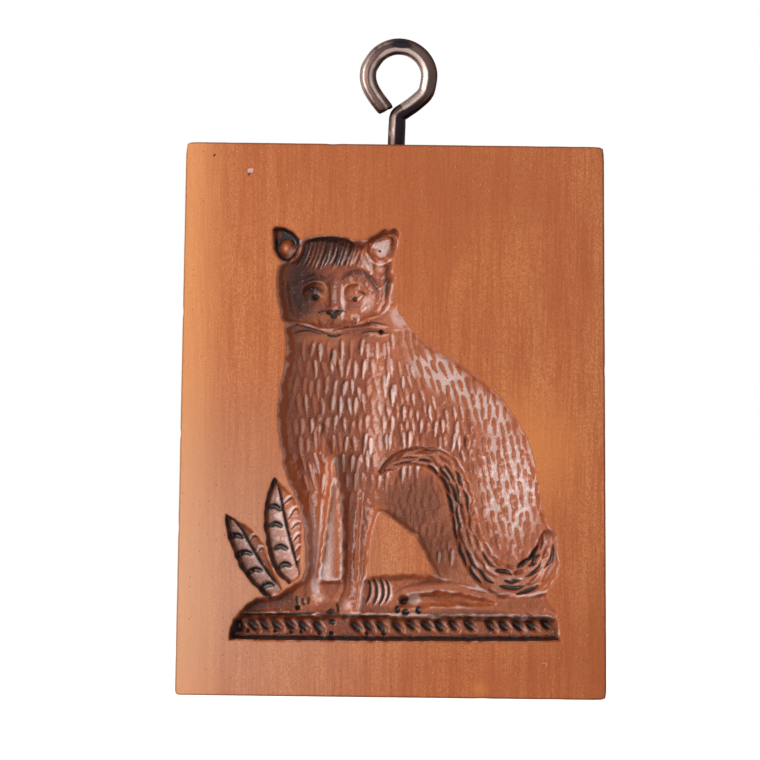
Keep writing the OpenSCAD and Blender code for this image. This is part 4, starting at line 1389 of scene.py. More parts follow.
@dataclass(frozen=True)
class CarvedFinish:
    """Finish of the block: warm satin face with upright grain, browner glossy carving, dark pooled glaze, and painted
    shade and painted sheen where the mesh's layers carry them.
    """

    face: Colour = (0.568, 0.193, 0.074, 1)
    pale_face: Colour = (0.70, 0.300, 0.115, 1)
    deep_face: Colour = (0.375, 0.097, 0.032, 1)
    orange_face: Colour = (0.66, 0.228, 0.07, 1)
    hollow: Colour = (0.255, 0.054, 0.019, 1)
    # Dark of the pooled glaze, also laid as painted shade.
    glaze: Colour = (0.018, 0.008, 0.007, 1)
    warm: Colour = (0.40, 0.105, 0.035, 1)
    # Pale pink of rubbed places and of painted sheen and highlights.
    rubbed_and_sheen: Colour = (0.64, 0.45, 0.405, 1)
    # Dusty specks, and the painted sheen over the lower left of the face.
    dust_and_sheen: Colour = (0.62, 0.42, 0.32, 1)
    grain_per_m: float = 2400.0
    grain_stretch: float = 0.05
    blotch_per_m: float = 30.0
    mottle_per_m: float = 900.0
    specks_per_m: float = 3600.0
    pinholes_per_m: float = 640.0
    pinhole_size: Point = (0.075, 0.035)
    bump_height: float = 0.00011
    face_rough: float = 0.52
    hollow_rough: float = 0.36
    # Painted sheen along the left edge of the face, the edge nearest the light.
    left_edge_sheen: Point = (-0.029, -0.0405)
    under_grain: tuple[Blush, ...] = (
        Blush((17, 80), 14, 0.6, orange_face), Blush((13, 92), 7.5, 0.6, deep_face), Blush((24, 94), 9, 0.6, deep_face),
        Blush((11.5, 85.5), 5, 0.6, deep_face), Blush((36.6, 78.4), 5, 0.6, deep_face),
    )
    over_grain: tuple[Blush, ...] = (
        Blush((24, 46), 17, 0.75, orange_face), Blush((2, 101), 46, 0.66, deep_face),
        Blush((42, 4), 26, 0.6, deep_face), Blush((18, 2), 9, 0.4, deep_face),
        Blush((16.5, 1.7), 2.6, 0.5, orange_face),
    )
    # Painted sheen over the lower left of the face.
    low_left_sheen: tuple[Blush, ...] = (Blush((-38, 18), 54, 0.36, dust_and_sheen),)

    def build(self) -> bpy.types.Material:
        """Makes the material.

        Returns:
            The material.
        """
        material, sheet = Sheet.of_material("mould_finish")
        hollow, glaze = sheet.layer(Layer.HOLLOW), sheet.layer(Layer.GLAZE_AND_SHADE)
        wear, edge = sheet.layer(Layer.WEAR_AND_SHEEN), sheet.layer(Layer.EDGE)
        even, upright = sheet.place(), sheet.place((1, 1, self.grain_stretch))
        grain = sheet.noise(upright, self.grain_per_m, 4, 0.6)
        mottle, speck = sheet.noise(even, self.mottle_per_m, 3, 0.6), sheet.noise(even, self.specks_per_m, 2, 0.6)
        tone = self.face_tone(sheet, even, upright, grain, speck)
        sunk = sheet.mix(sheet.band(mottle, 0.3, 0.7) * 0.35, self.hollow, self.warm)
        tone = sheet.mix(hollow, tone, sunk)
        # Wear and sheen: low shares warm the colour, painted light on shaded walls and rubbed places; high shares turn
        # it pale pink, painted sheen and highlights.
        tone = sheet.mix(sheet.band(wear, 0, 0.5), tone, self.warm)
        tone = sheet.mix(sheet.band(wear, 0.5, 1) * 0.85, tone, self.rubbed_and_sheen)
        # Painted glints: pale specks in the carving.
        tone = sheet.mix(sheet.band(speck, 0.6, 0.78) * hollow * 0.3, tone, self.rubbed_and_sheen)
        # The glaze layer: pooled glaze and painted shade.
        tone = sheet.mix(sheet.band(glaze + (speck - 0.5) * 0.5, 0.12, 0.9), tone, self.glaze)
        tone = sheet.mix(edge * 0.4, tone, self.glaze)
        sheet.surface({
            "Base Color": self.pinholes(sheet, hollow, tone),
            "Roughness": self.face_rough + hollow * (self.hollow_rough - self.face_rough) + (mottle - 0.5) * 0.16,
            "Specular IOR Level": 0.12,
            "Coat Weight": hollow * (0.55 - glaze * 0.36 + sheet.band(glaze, 0.75, 1) * 0.36),
            "Coat Roughness": 0.13,
            "Normal": sheet.bump(grain * 0.3 + (speck + mottle) * (0.35 + hollow * 2.2), self.bump_height, 0.9),
        })
        return material

    def pinholes(self, sheet: Sheet, hollow: Value, tone: Value) -> Value:
        """Scatters dark pinholes and dusty specks over the face and the carving.

        Args:
            sheet: The material's nodes.
            hollow: Share of the carving.
            tone: Colour without them.

        Returns:
            The colour.
        """
        flat = sheet.place(turn=(math.pi / 2, 0, 0))
        inputs = {"Vector": flat, "Scale": self.pinholes_per_m}
        cells = sheet.node("ShaderNodeTexVoronoi", {"voronoi_dimensions": "2D"}, inputs)
        lot = sheet.value("ShaderNodeSeparateColor", None, {"Color": Value(sheet, cells.outputs["Color"])}, "Red")
        normal = sheet.value("ShaderNodeTexCoord", output="Normal")
        facing = sheet.value("ShaderNodeSeparateXYZ", None, {"Vector": normal}, "Y")
        spot = sheet.band(Value(sheet, cells.outputs["Distance"]), *self.pinhole_size)
        spot = spot * sheet.band(facing * facing, 0.3, 0.6)
        tone = sheet.mix(spot * (lot < 0.1 + hollow * 0.14) * 0.85, tone, self.glaze)
        return sheet.mix(spot * (lot > 0.92 - hollow * 0.2) * 0.6, tone, self.dust_and_sheen)

    @staticmethod
    def blush(sheet: Sheet, where: Value, tone: Value, places: tuple[Blush, ...]) -> Value:
        """Lays coloured places over a tone.

        Args:
            sheet: The material's nodes.
            where: Object coordinates.
            tone: Colour without them.
            places: The places, in order.

        Returns:
            The colour.
        """
        for place in places:
            tone = sheet.mix(sheet.spot(where, place.at, place.radius) * place.share, tone, place.colour)
        return tone

    def face_tone(self, sheet: Sheet, even: Value, upright: Value, grain: Value, speck: Value) -> Value:
        """Colour of the flat face: grain, clouds, a painted sheen along the left edge and over the lower left, and
        warmer and darker places.

        Args:
            sheet: The material's nodes.
            even: Object coordinates.
            upright: Object coordinates drawn out along the grain.
            grain: Fine grain.
            speck: Fine specks.

        Returns:
            The colour.
        """
        broad = sheet.noise(upright, self.grain_per_m / 6, 2, 0.5)
        cloud = sheet.noise(even, self.blotch_per_m, 3, 0.55)
        tone = sheet.mix(sheet.band(cloud, 0.42, 0.7) * 0.5, self.face, self.deep_face)
        tone = self.blush(sheet, even, tone, self.under_grain)
        tone = sheet.mix(sheet.band(grain, 0.42, 0.62) * 0.64, tone, self.deep_face)
        tone = sheet.mix(sheet.band(broad, 0.42, 0.7) * 0.22, tone, self.pale_face)
        tone = sheet.mix(sheet.band(broad, 0.54, 0.3) * 0.2, tone, self.deep_face)
        tone = sheet.mix(sheet.band(speck, 0.42, 0.58) * 0.66, tone, self.deep_face)
        tone = self.blush(sheet, even, tone, self.over_grain)
        # Painted sheen along the left edge and over the lower left.
        across = sheet.value("ShaderNodeSeparateXYZ", None, {"Vector": even}, "X")
        tone = sheet.mix(sheet.band(across, *self.left_edge_sheen) * 0.7, tone, self.pale_face)
        return self.blush(sheet, even, tone, self.low_left_sheen)


@dataclass(frozen=True)
class TarnishedWire:
    """Finish of the screw eye: brown tarnish with rubbed tan streaks and dark oxide, a painted highlight on the side
    that faces the light and painted shade on the side away from it.
    """

    bright: Colour = (0.36, 0.27, 0.24, 1)
    brown: Colour = (0.078, 0.049, 0.042, 1)
    oxide: Colour = (0.016, 0.012, 0.015, 1)
    glance: Colour = (0.3, 0.24, 0.23, 1)
    clouds_per_m: float = 300.0
    fine_per_m: float = 2200.0
    bump_height: float = 0.00008
    rough: float = 0.33

    def build(self) -> bpy.types.Material:
        """Makes the material.

        Returns:
            The material.
        """
        material, sheet = Sheet.of_material("tarnished_wire")
        even = sheet.place()
        cloud, fine = sheet.noise(even, self.clouds_per_m, 4, 0.6), sheet.noise(even, self.fine_per_m, 3, 0.6)
        worn_and_lit, dark = sheet.layer(Layer.WEAR_AND_SHEEN), sheet.layer(Layer.GLAZE_AND_SHADE)
        # Tan where it is rubbed or painted as lit; oxide where it is tarnished or painted as shaded.
        tone = sheet.mix(sheet.band(cloud + (worn_and_lit - 0.5) * 0.9, 0.4, 0.8), self.brown, self.bright)
        darken = sheet.band(dark + (cloud - 0.5) * 0.8, 0.25, 0.75)
        tone = sheet.mix(darken, tone, self.oxide)
        sheet.surface({
            "Base Color": tone,
            "Metallic": 1.0 - darken * 0.4,
            "Specular Tint": self.glance,
            "Roughness": self.rough + (fine - 0.5) * 0.16,
            "Normal": sheet.bump(fine * 0.3 + cloud, self.bump_height, 0.35),
        })
        return material


def smooth_mesh(name: str, points: np.ndarray, faces: list[tuple[int, ...]]) -> bpy.types.Mesh:
    """Makes a mesh that is shaded smooth.

    Args:
        name: Its name.
        points: Its points in millimetres.
        faces: Numbers of the points round each face.

    Returns:
        The mesh.
    """
    mesh = bpy.data.meshes.new(name)
    mesh.from_pydata((points * MM).tolist(), [], faces)
    mesh.polygons.foreach_set("use_smooth", [True] * len(mesh.polygons))
    return mesh


def store(mesh: bpy.types.Mesh, layer: Layer, values: np.ndarray) -> None:
    """Stores on a mesh what its finish reads."""
    mesh.attributes.new(layer.value, "FLOAT", "POINT").data.foreach_set("value", values.astype(np.float32))


class Shell:
    """Points and faces of the block as they are gathered."""

    def __init__(self) -> None:
        """Starts empty."""
        self.points: list[np.ndarray] = []
        self.edge: list[np.ndarray] = []
        self.faces: list[np.ndarray] = []
        self.sides: list[np.ndarray] = []
        self.count = 0

    def add(self, x: np.ndarray, y: np.ndarray | float, z: np.ndarray | float, edge: float = 0.0) -> np.ndarray:
        """Adds points.

        Args:
            x: Places across.
            y: Places through the block.
            z: Places up.
            edge: How much of a worn edge they lie on.

        Returns:
            The numbers of the points.
        """
        size = len(x)
        self.points.append(np.column_stack([x, np.broadcast_to(y, size), np.broadcast_to(z, size)]))
        self.edge.append(np.full(size, edge))
        self.count += size
        return np.arange(self.count - size, self.count)

    def face(self, corners: Sequence[np.ndarray], side: Side) -> None:
        """Adds faces, each from one corner of every list; corners that meet make a triangle.

        Args:
            corners: Numbers of the points, a list for each corner.
            side: The part of the skin that they belong to.
        """
        rows = np.stack([np.ravel(c) for c in corners], axis=-1)
        self.faces.append(rows)
        self.sides.append(np.full(len(rows), side.value))

    def grid(self, n: np.ndarray, side: Side) -> None:
        """Adds the faces of a grid of points."""
        self.face((n[:-1, :-1], n[:-1, 1:], n[1:, 1:], n[1:, :-1]), side)

    def band(self, inner: np.ndarray, outer: np.ndarray, side: Side) -> None:
        """Adds the faces between two rings, the outer of the same count or of half of it.

        Args:
            inner: Numbers of the inner ring.
            outer: Numbers of the outer ring.
            side: The part of the skin that they belong to.
        """
        after = np.roll(outer, -1)
        if len(inner) == len(outer):
            self.face((inner, outer, after, np.roll(inner, -1)), side)
        else:
            first, middle = inner[::2], inner[1::2]
            self.face((first, outer, middle, middle), side)
            self.face((middle, outer, after, np.roll(first, -1)), side)

    def mesh(self, name: str) -> bpy.types.Mesh:
        """Makes the mesh."""
        faces = [tuple(dict.fromkeys(row)) for rows in self.faces for row in rows.tolist()]
        return smooth_mesh(name, np.concatenate(self.points), faces)


@dataclass
class MouldBlock:
    """The carved block, leaning in a little towards its top, with a hole for the screw eye."""

    width: float = 80.0
    top_width: float = 77.4
    top_lean: float = 0.4
    height: float = 102.5
    thick: float = 18.0
    corner: float = 0.3
    edge: float = 0.36
    fine_x: Point = (-33.4, 33.4)
    fine_z: Point = (5.0, 90.0)
    columns: tuple[int, int] = (14, 352)
    rows: tuple[int, int, int] = (10, 446, 24)
    coarser: int = 4
    edge_steps: int = 4
    side_rows: int = 20
    hole_x: float = -0.2
    hole_r: float = 1.74
    hole_depth: float = 14.4
    hole_room: float = 3.0
    hole_mouth: float = 0.3
    wall_bite: float = 0.4
    rim_rough: float = 0.10
    rim_seed: int = 2
    tone_depth: float = 0.45
    carved_from: float = -32.0
    droop: float = 0.3
    droop_width: float = 10.5
    chips: tuple[tuple[float, float, float, float], ...] = (
        (-38.9, 101.9, 1.0, 0.3), (38.4, 102.3, 1.4, 0.3), (40.0, 0.0, 1.4, 0.25),
        (-38.9, 71.0, 0.8, 0.2), (-39.3, 48.5, 0.7, 0.2),
        (-12.0, 102.5, 0.8, 0.25), (39.2, 61.0, 0.9, 0.22), (-39.7, 31.0, 0.8, 0.2), (17.0, 0.0, 0.9, 0.2),
    )
    dents: tuple[Pit, ...] = (
        # A dent with a painted highlight on one side and painted shade on the other.
        Pit((-27.2, 97.4), (0.7, 0.8), 0.25, turn=-30, wear=0.9),
        Pit((-27.3, 96.8), (0.55, 0.3), 0.2, 0.8, 15),
        Pit((-33.9, 100.3), (0.28, 0.28), 0.3, 1.0),
    )
    pocks: int = 260
    pock_seed: int = 21
    pocks_from: Point = (-33.0, 5.5)
    pocks_span: Point = (66.0, 84.0)
    scratches: tuple[Stroke, ...] = (
        glint(((27.4, 6.8), (28.8, 6.6), (28.35, 5.65)), 0.2, 0.06, 0.95),
        glint(((36.0, 11.6), (36.9, 12.5)), 0.2, 0.06, 0.85),
        glint(((24.9, 2.8), (25.9, 3.9)), 0.16, 0.06, 0.8),
        glint(((15.7, 6.3), (16.3, 6.9)), 0.16, 0.06, 0.8),
        Stroke(((4.4, 4.5), (6.4, 5.9), (9.9, 6.9), (16.4, 7.0)), 0.5, 0.03, 0.26),
    )

    def side_x(self, z: float, right: bool) -> float:
        """Place of the left or right side at a height.

        Args:
            z: The height.
            right: True for the right side.

        Returns:
            The place across.
        """
        top = (self.top_width if right else -self.top_width) / 2 - self.top_lean
        low = (self.width if right else -self.width) / 2
        return low + (top - low) * z / self.height

    def lay_out(self) -> tuple[np.ndarray, np.ndarray]:
        """Lays out the rows and columns of the face, close together where it is carved.

        Returns:
            The places across and up, by row and column, with the corners rounded.
        """
        low, fine, high = self.rows
        z = np.concatenate([
            np.linspace(self.edge, self.fine_z[0], low, endpoint=False),
            np.linspace(*self.fine_z, fine, endpoint=False),
            np.linspace(self.fine_z[1], self.height - self.edge, high + 1),
        ])
        margin, fine = self.columns
        share = np.linspace(0, 1, margin, endpoint=False) ** 1.2
        out = []
        for up in z:
            a, b = self.side_x(up, False) + self.edge, self.side_x(up, True) - self.edge
            out.append(np.concatenate([
                a + (self.fine_x[0] - a) * share,
                np.linspace(*self.fine_x, fine, endpoint=False),
                (b + (self.fine_x[1] - b) * np.append(share, 1))[::-1],
            ]))
        x = np.array(out)
        return self.round_corners(x, np.repeat(z[:, None], x.shape[1], axis=1))

    def round_corners(self, x: np.ndarray, z: np.ndarray) -> tuple[np.ndarray, np.ndarray]:
        """Draws the places near the four corners in to a rounded outline.

        Args:
            x: Places across.
            z: Places up.

        Returns:
            The places moved.
        """
        r = self.corner
        for right in (False, True):
            for top in (False, True):
                a = (x[:, -1:] - x) if right else (x - x[:, :1])
                b = (z[-1:] - z) if top else (z - z[:1])
                u, w = np.clip(r - a, 0, None), np.clip(r - b, 0, None)
                pull = np.where((u > 0) & (w > 0), np.maximum(u, w) / np.maximum(np.hypot(u, w), 1e-9) - 1, 0)
                x = x + (1 if right else -1) * u * pull
                z = z + (1 if top else -1) * w * pull
        return x, z

    @staticmethod
    def rim(n: np.ndarray) -> np.ndarray:
        """Numbers round a grid, anticlockwise from its lower left corner."""
        return np.concatenate([n[0, :-1], n[:-1, -1], n[-1, :0:-1], n[:0:-1, 0]])

    def build(self, carving: Carving) -> bpy.types.Object:
        """Builds the block's mesh.

        Args:
            carving: What is sunk into its face.

        Returns:
            The block.
        """
        x, z = self.lay_out()
        relief = Relief(x, z)
        carving.carve(relief)
        self.wear_face(relief)
        log.info("deepest place of the carving: %.2f mm", relief.depth.max())
        front, back = -self.thick / 2, self.thick / 2
        shell = Shell()
        n = shell.add(x.ravel(), front + relief.depth.ravel(), z.ravel()).reshape(x.shape)
        shell.grid(n, Side.FRONT)
        last = self.rim(n)
        rim = np.column_stack([x.ravel(), z.ravel()])[last]
        sunk = relief.depth.ravel()[last]
        out, bite = self.outward(rim), self.bites(rim)
        turns = [math.pi / 2 * k / self.edge_steps for k in range(1, self.edge_steps + 1)]
        for turn in turns:
            away = rim + out * ((self.edge - bite) * math.sin(turn))[:, None]
            deep = np.maximum(sunk, (self.edge + bite) * (1 - math.cos(turn)))
            here = shell.add(away[:, 0], front + deep, away[:, 1], math.sin(2 * turn) * 0.6 + 0.4)
            shell.band(last, here, Side.FRONT)
            last = here
        wall = rim + out * (self.edge - self.wall_bite * bite)[:, None]
        rows = np.linspace(front + 2 * self.edge, back - self.edge, self.side_rows)
        here = shell.add(wall[::2, 0], rows[0], wall[::2, 1])
        shell.band(last, here, Side.SIDES)
        wall, rim, out = wall[:: self.coarser], rim[:: self.coarser], out[:: self.coarser]
        rings = np.array([shell.add(wall[:, 0], y, wall[:, 1]) for y in rows[1:]])
        shell.band(here, rings[0], Side.SIDES)
        self.wrap(shell, rings, wall, rows[1:])
        last = rings[-1]
        for turn in turns:
            away = rim + out * self.edge * math.cos(turn)
            here = shell.add(away[:, 0], back - self.edge * (1 - math.sin(turn)), away[:, 1], 0.5 * math.sin(2 * turn))
            shell.band(last, here, Side.BACK)
            last = here
        self.close_back(shell, x, z, last)
        return bpy.data.objects.new("carved_block", self.finish(shell, relief))

    def wrap(self, shell: Shell, rings: np.ndarray, wall: np.ndarray, rows: np.ndarray) -> None:
        """Joins the rings of the sides, and sinks the hole for the screw eye into the top.

        Args:
            shell: The block so far.
            rings: Numbers of the points, ring by ring.
            wall: Places of one ring, across and up.
            rows: Place of each ring through the block.
        """
        near = np.nonzero((np.abs(wall[:, 0] - self.hole_x) < self.hole_room) & (wall[:, 1] > self.height / 2))[0]
        k0, k1 = near.min(), near.max()
        near = np.nonzero(np.abs(rows) < self.hole_room)[0]
        r0, r1 = near.min(), near.max()
        corners = np.stack([rings[:-1], rings[1:], np.roll(rings[1:], -1, axis=1), np.roll(rings[:-1], -1, axis=1)])
        keep = np.ones(corners.shape[1:], bool)
        keep[r0:r1, k0:k1] = False
        shell.face([c[keep] for c in corners], Side.SIDES)
        patch = rings[r0 : r1 + 1, k0 : k1 + 1]
        loop = self.rim(patch)
        spots = np.concatenate(shell.points)[loop]
        turn = np.arctan2(spots[:, 1], spots[:, 0] - self.hole_x)
        x, y = self.hole_x + self.hole_r * np.cos(turn), self.hole_r * np.sin(turn)
        last = loop
        for drop in (0.0, self.hole_mouth, self.hole_depth / 2, self.hole_depth):
            here = shell.add(x, y, self.height - drop)
            shell.face((np.roll(last, -1), last, here, np.roll(here, -1)), Side.HOLE)
            last = here
        middle = np.repeat(shell.add(np.array([self.hole_x]), 0.0, self.height - self.hole_depth), len(last))
        shell.face((np.roll(last, -1), last, middle, middle), Side.HOLE)

    def close_back(self, shell: Shell, x: np.ndarray, z: np.ndarray, last: np.ndarray) -> None:
        """Closes the plain back with a coarser grid.

        Args:
            shell: The block so far.
            x: Places across on the face.
            z: Places up on the face.
            last: Numbers of the ring round the back.
        """
        x, z = x[:: self.coarser, :: self.coarser], z[:: self.coarser, :: self.coarser]
        n = np.full(x.shape, -1)
        within = (slice(1, -1), slice(1, -1))
        n[within] = shell.add(x[within].ravel(), self.thick / 2, z[within].ravel()).reshape(n[within].shape)
        places = self.rim(np.arange(n.size).reshape(n.shape))
        n.ravel()[places] = last
        shell.grid(n[:, ::-1], Side.BACK)

    def finish(self, shell: Shell, relief: Relief) -> bpy.types.Mesh:
        """Makes the mesh and stores on it what its finish reads.

        Args:
            shell: The whole skin.
            relief: The carved face.

        Returns:
            The mesh.
        """
        mesh = shell.mesh("carved_block")
        fields = {
            Layer.HOLLOW: np.clip(relief.depth / self.tone_depth, 0, 1) * (relief.x > self.carved_from),
            Layer.GLAZE_AND_SHADE: relief.glaze,
            Layer.WEAR_AND_SHEEN: relief.wear,
        }
        for layer in Layer:
            values = np.concatenate(shell.edge)
            if layer in fields:
                values[:] = 0
                values[: relief.depth.size] = fields[layer].ravel()
            store(mesh, layer, values)
        self.unfold(mesh, np.concatenate(shell.sides))
        return mesh

    def unfold(self, mesh: bpy.types.Mesh, sides: np.ndarray) -> None:
        """Lays the skin out flat for the finish: front, back, the sides as two strips, and the hole.

        Args:
            mesh: The block.
            sides: The side that each face belongs to.
        """
        corner = np.empty(len(mesh.loops), np.int32)
        mesh.loops.foreach_get("vertex_index", corner)
        totals = np.empty(len(mesh.polygons), np.int32)
        mesh.polygons.foreach_get("loop_total", totals)
        place = np.empty(len(mesh.vertices) * 3)
        mesh.vertices.foreach_get("co", place)
        x, y, z = (place.reshape(-1, 3)[corner] / MM).T
        u, w = x / self.width + 0.5, z / self.height
        side = np.repeat(sides, totals)
        starts = np.concatenate([[0], np.cumsum(totals)[:-1]])
        level, mid = (np.repeat(np.add.reduceat(values, starts) / totals, totals) for values in (z, u))
        flat = (level < 1) | (level > self.height - 1)
        lower = np.where(flat, level < 1, mid < 0.5)
        across = np.where(flat, 0.01, 0.49) + np.where(flat, u * 0.44, w * 0.5)
        rise = np.where(lower, 0.80, 0.90) + (y / self.thick + 0.5) * 0.08
        # The front lies lower left, the back lower right with the hole above it, and the sides as strips on top.
        front = (0.01 + 0.58 * u, 0.01 + 0.745 * w)
        back = (0.61 + 0.38 * u, 0.01 + 0.487 * w)
        hole = (0.62 + 0.3 * (u - 0.45), 0.6 + 0.008 * y)
        parts = [side == part.value for part in (Side.FRONT, Side.BACK, Side.HOLE)]
        spots = np.select(parts, [front, back, hole], (across, rise))
        mesh.uv_layers.new(name="OFBake").data.foreach_set("uv", np.column_stack(spots).ravel().astype(np.float32))

    def wear_face(self, relief: Relief) -> None:
        """Lets the face droop towards its left edge, and dents, scratches and pocks it.

        Args:
            relief: The carved face.
        """
        edge = relief.x[:, :1] + self.droop_width
        relief.depth = np.maximum(relief.depth, self.droop * np.clip((edge - relief.x) / self.droop_width, 0, 1) ** 2)
        relief.work(self.dents + self.scratches)
        rng = np.random.default_rng(self.pock_seed)
        for _ in range(self.pocks):
            x = self.pocks_from[0] + self.pocks_span[0] * rng.uniform() ** 1.5
            z = self.pocks_from[1] + self.pocks_span[1] * rng.uniform() ** 1.2
            half = rng.uniform(0.16, 0.28)
            oval = (half, half * rng.uniform(0.7, 1))
            relief.press(Pit((x, z), oval, rng.uniform(0.06, 0.14), rng.choice((0.0, 0.0, 0.3))))

    @staticmethod
    def outward(rim: np.ndarray) -> np.ndarray:
        """Directions out of a ring of places, square to it.

        Args:
            rim: The places, in order.

        Returns:
            A direction for each place.
        """
        along = np.roll(rim, -1, axis=0) - np.roll(rim, 1, axis=0)
        along /= np.hypot(*along.T)[:, None]
        return np.column_stack([along[:, 1], -along[:, 0]])

    def bites(self, rim: np.ndarray) -> np.ndarray:
        """How far wear and chips have bitten into the rim at each place.

        Args:
            rim: The places, in order.

        Returns:
            A depth for each place.
        """
        rng = np.random.default_rng(self.rim_seed)
        rough = soften(rng.normal(0, 1, (1, len(rim))).repeat(3, axis=0), 5)[1]
        bite = np.clip(self.rim_rough * rough, 0, None)
        for x, z, r, deep in self.chips:
            bite = np.maximum(bite, deep * np.exp(-((rim[:, 0] - x) ** 2 + (rim[:, 1] - z) ** 2) / r**2))
        return bite

    def dress(self, piece: bpy.types.Object, finish: CarvedFinish) -> None:
        """Puts the block in the scene with its finish.

        Args:
            piece: The block.
            finish: Its finish.
        """
        bpy.context.scene.collection.objects.link(piece)
        piece.data.materials.append(finish.build())
        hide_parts("mould_block")
        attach(piece, Body.BLOCK.value)


@dataclass
class ScrewEye:
    """The bent wire eye with its threaded shank."""

    line: tuple[Point, ...] = (
        (-2.1, 109.0), (-3.1, 110.2), (-4.22, 111.7), (-5.08, 113.2), (-5.5, 114.6), (-5.55, 115.8), (-5.2, 117.15),
        (-3.48, 119.5), (-0.83, 120.76), (2.08, 120.5), (4.48, 118.8), (5.71, 116.2), (5.46, 113.3), (4.9, 112.0),
        (3.9, 111.0), (2.7, 110.0), (1.2, 108.95), (0.3, 108.3), (-0.05, 107.6), (-0.1, 106.6), (-0.15, 105.2),
        (-0.2, 103.0), (-0.2, 100.0), (-0.2, 88.6),
    )
    wire_r: float = 1.56
    shank_r: float = 1.62
    neck: Point = (108.5, 106.0)
    shank_length: float = 21.0
    shear: float = 1.1
    shear_reach: float = 1.2
    end_round: float = 0.22
    sway: float = 0.02
    sway_seed: int = 4
    ridge_heights: Point = (0.04, 0.03)
    step: float = 0.16
    sides: int = 56
    thread_start: float = 100.0
    thread_pitch: float = 1.3
    thread_depth: float = 0.28
    tip: float = 3.0
    patch_at: Point = (0.5, 121.2)
    patch_half: Point = (1.5, 0.9)
    stem_top: float = 112.5
    stem_fade: float = 4.0

    def build(self) -> bpy.types.Object:
        """Builds the wire: drawn ridges, a sheared end, a kink where it was bent, and the thread, with its painted
        highlight and shade.

        Returns:
            The eye.
        """
        line = smooth_run(self.line, step=self.step)
        far, head, out = bearings(line)
        shank = far > far[-1] - self.shank_length
        turn = np.linspace(0, 2 * math.pi, self.sides, endpoint=False)
        sway = np.cumsum(np.random.default_rng(self.sway_seed).normal(0, self.sway, len(line)))[:, None]
        broad, fine = self.ridge_heights
        ridges = broad * np.cos(3 * turn + sway) + fine * np.cos(7 * turn - 2 * sway)
        stem = np.interp(-line[:, 1], (-self.neck[0], -self.neck[1]), (self.wire_r, self.shank_r))
        radius = np.where(shank, stem, self.wire_r)
        spiral = (far[:, None] / self.thread_pitch - turn / (2 * math.pi)) % 1
        cut = self.thread_depth * np.abs(2 * spiral - 1)
        threaded = (shank & (line[:, 1] < self.thread_start))[:, None]
        profile = radius[:, None] + np.where(threaded, -cut, np.minimum(ridges, 0))
        taper = np.where(shank, np.clip(0.2 + (line[:, 1] - line[-1, 1]) / self.tip, 0, 1), 1)
        profile = profile * (taper * (1 - 0.2 * np.exp(-far / self.end_round)))[:, None]
        away = profile * np.cos(turn)
        lag = self.shear * np.exp(-far / self.shear_reach)[:, None]
        lag = lag * (0.12 * np.cos(5 * turn + 1) - 0.25 * np.cos(turn))
        x = line[:, :1] + out[:, :1] * away - head[:, :1] * lag
        z = line[:, 1:] + out[:, 1:] * away - head[:, 1:] * lag
        piece = self.skin(np.stack([x, profile * np.sin(turn), z], axis=-1))
        (px, pz), (wx, wz) = self.patch_at, self.patch_half
        top = 1.2 * np.exp(-(((x - px) / wx) ** 2) - ((z - pz) / wz) ** 2)
        # How far the wire faces left, towards the light: it carries a painted highlight and less painted shade.
        left = np.clip(-out[:, :1] * np.cos(turn), 0, 1)
        # Painted shade on the shank and the low ends of the loop: a dark stripe down the front of the shank, and the
        # sides of the loop turned from the light.
        dark = np.where(shank[:, None], 0.4 - 0.5 * np.cos(2 * turn) + 0.45 * np.cos(turn), 0.6 - left)
        low = np.clip((self.stem_top - z) / self.stem_fade, 0, 1) * dark
        # Tan on the rubbed ridges and a painted highlight where the loop faces the light; the glaze layer holds the
        # oxide patch at the top and the painted shade.
        self.mark(piece.data, Layer.WEAR_AND_SHEEN, 0.3 + 8 * ridges + np.where(shank[:, None], -0.2, 0.9) * left)
        self.mark(piece.data, Layer.GLAZE_AND_SHADE, top + low - 5 * ridges - 0.3 * left)
        return piece

    def skin(self, rings: np.ndarray) -> bpy.types.Object:
        """Skins rings of points and closes both ends.

        Args:
            rings: Points by ring.

        Returns:
            The object.
        """
        count, sides = rings.shape[:2]
        n = np.arange(count * sides).reshape(count, sides)
        after = np.roll(n, -1, axis=1)
        quads = np.stack([n[:-1], n[1:], after[1:], after[:-1]], axis=-1).reshape(-1, 4).tolist()
        ends = [(a, b, count * sides) for a, b in zip(n[0], after[0])]
        ends += [(b, a, count * sides + 1) for a, b in zip(n[-1], after[-1])]
        points = np.concatenate([rings.reshape(-1, 3), rings[[0, -1]].mean(axis=1)])
        return bpy.data.objects.new("wire_eye", smooth_mesh("wire_eye", points, quads + ends))

    @staticmethod
    def mark(mesh: bpy.types.Mesh, layer: Layer, rows: np.ndarray) -> None:
        """Stores a layer on the wire, with a middling value at the middles of its two ends."""
        store(mesh, layer, np.append(np.clip(rows, 0, 1).ravel(), (0.5, 0.5)))

    def dress(self, piece: bpy.types.Object, finish: TarnishedWire) -> None:
        """Puts the eye in the scene with its finish.

        Args:
            piece: The eye.
            finish: Its finish.
        """
        bpy.context.scene.collection.objects.link(piece)
        piece.data.materials.append(finish.build())
        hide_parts("screw_eye")
        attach(piece, Body.EYE.value)


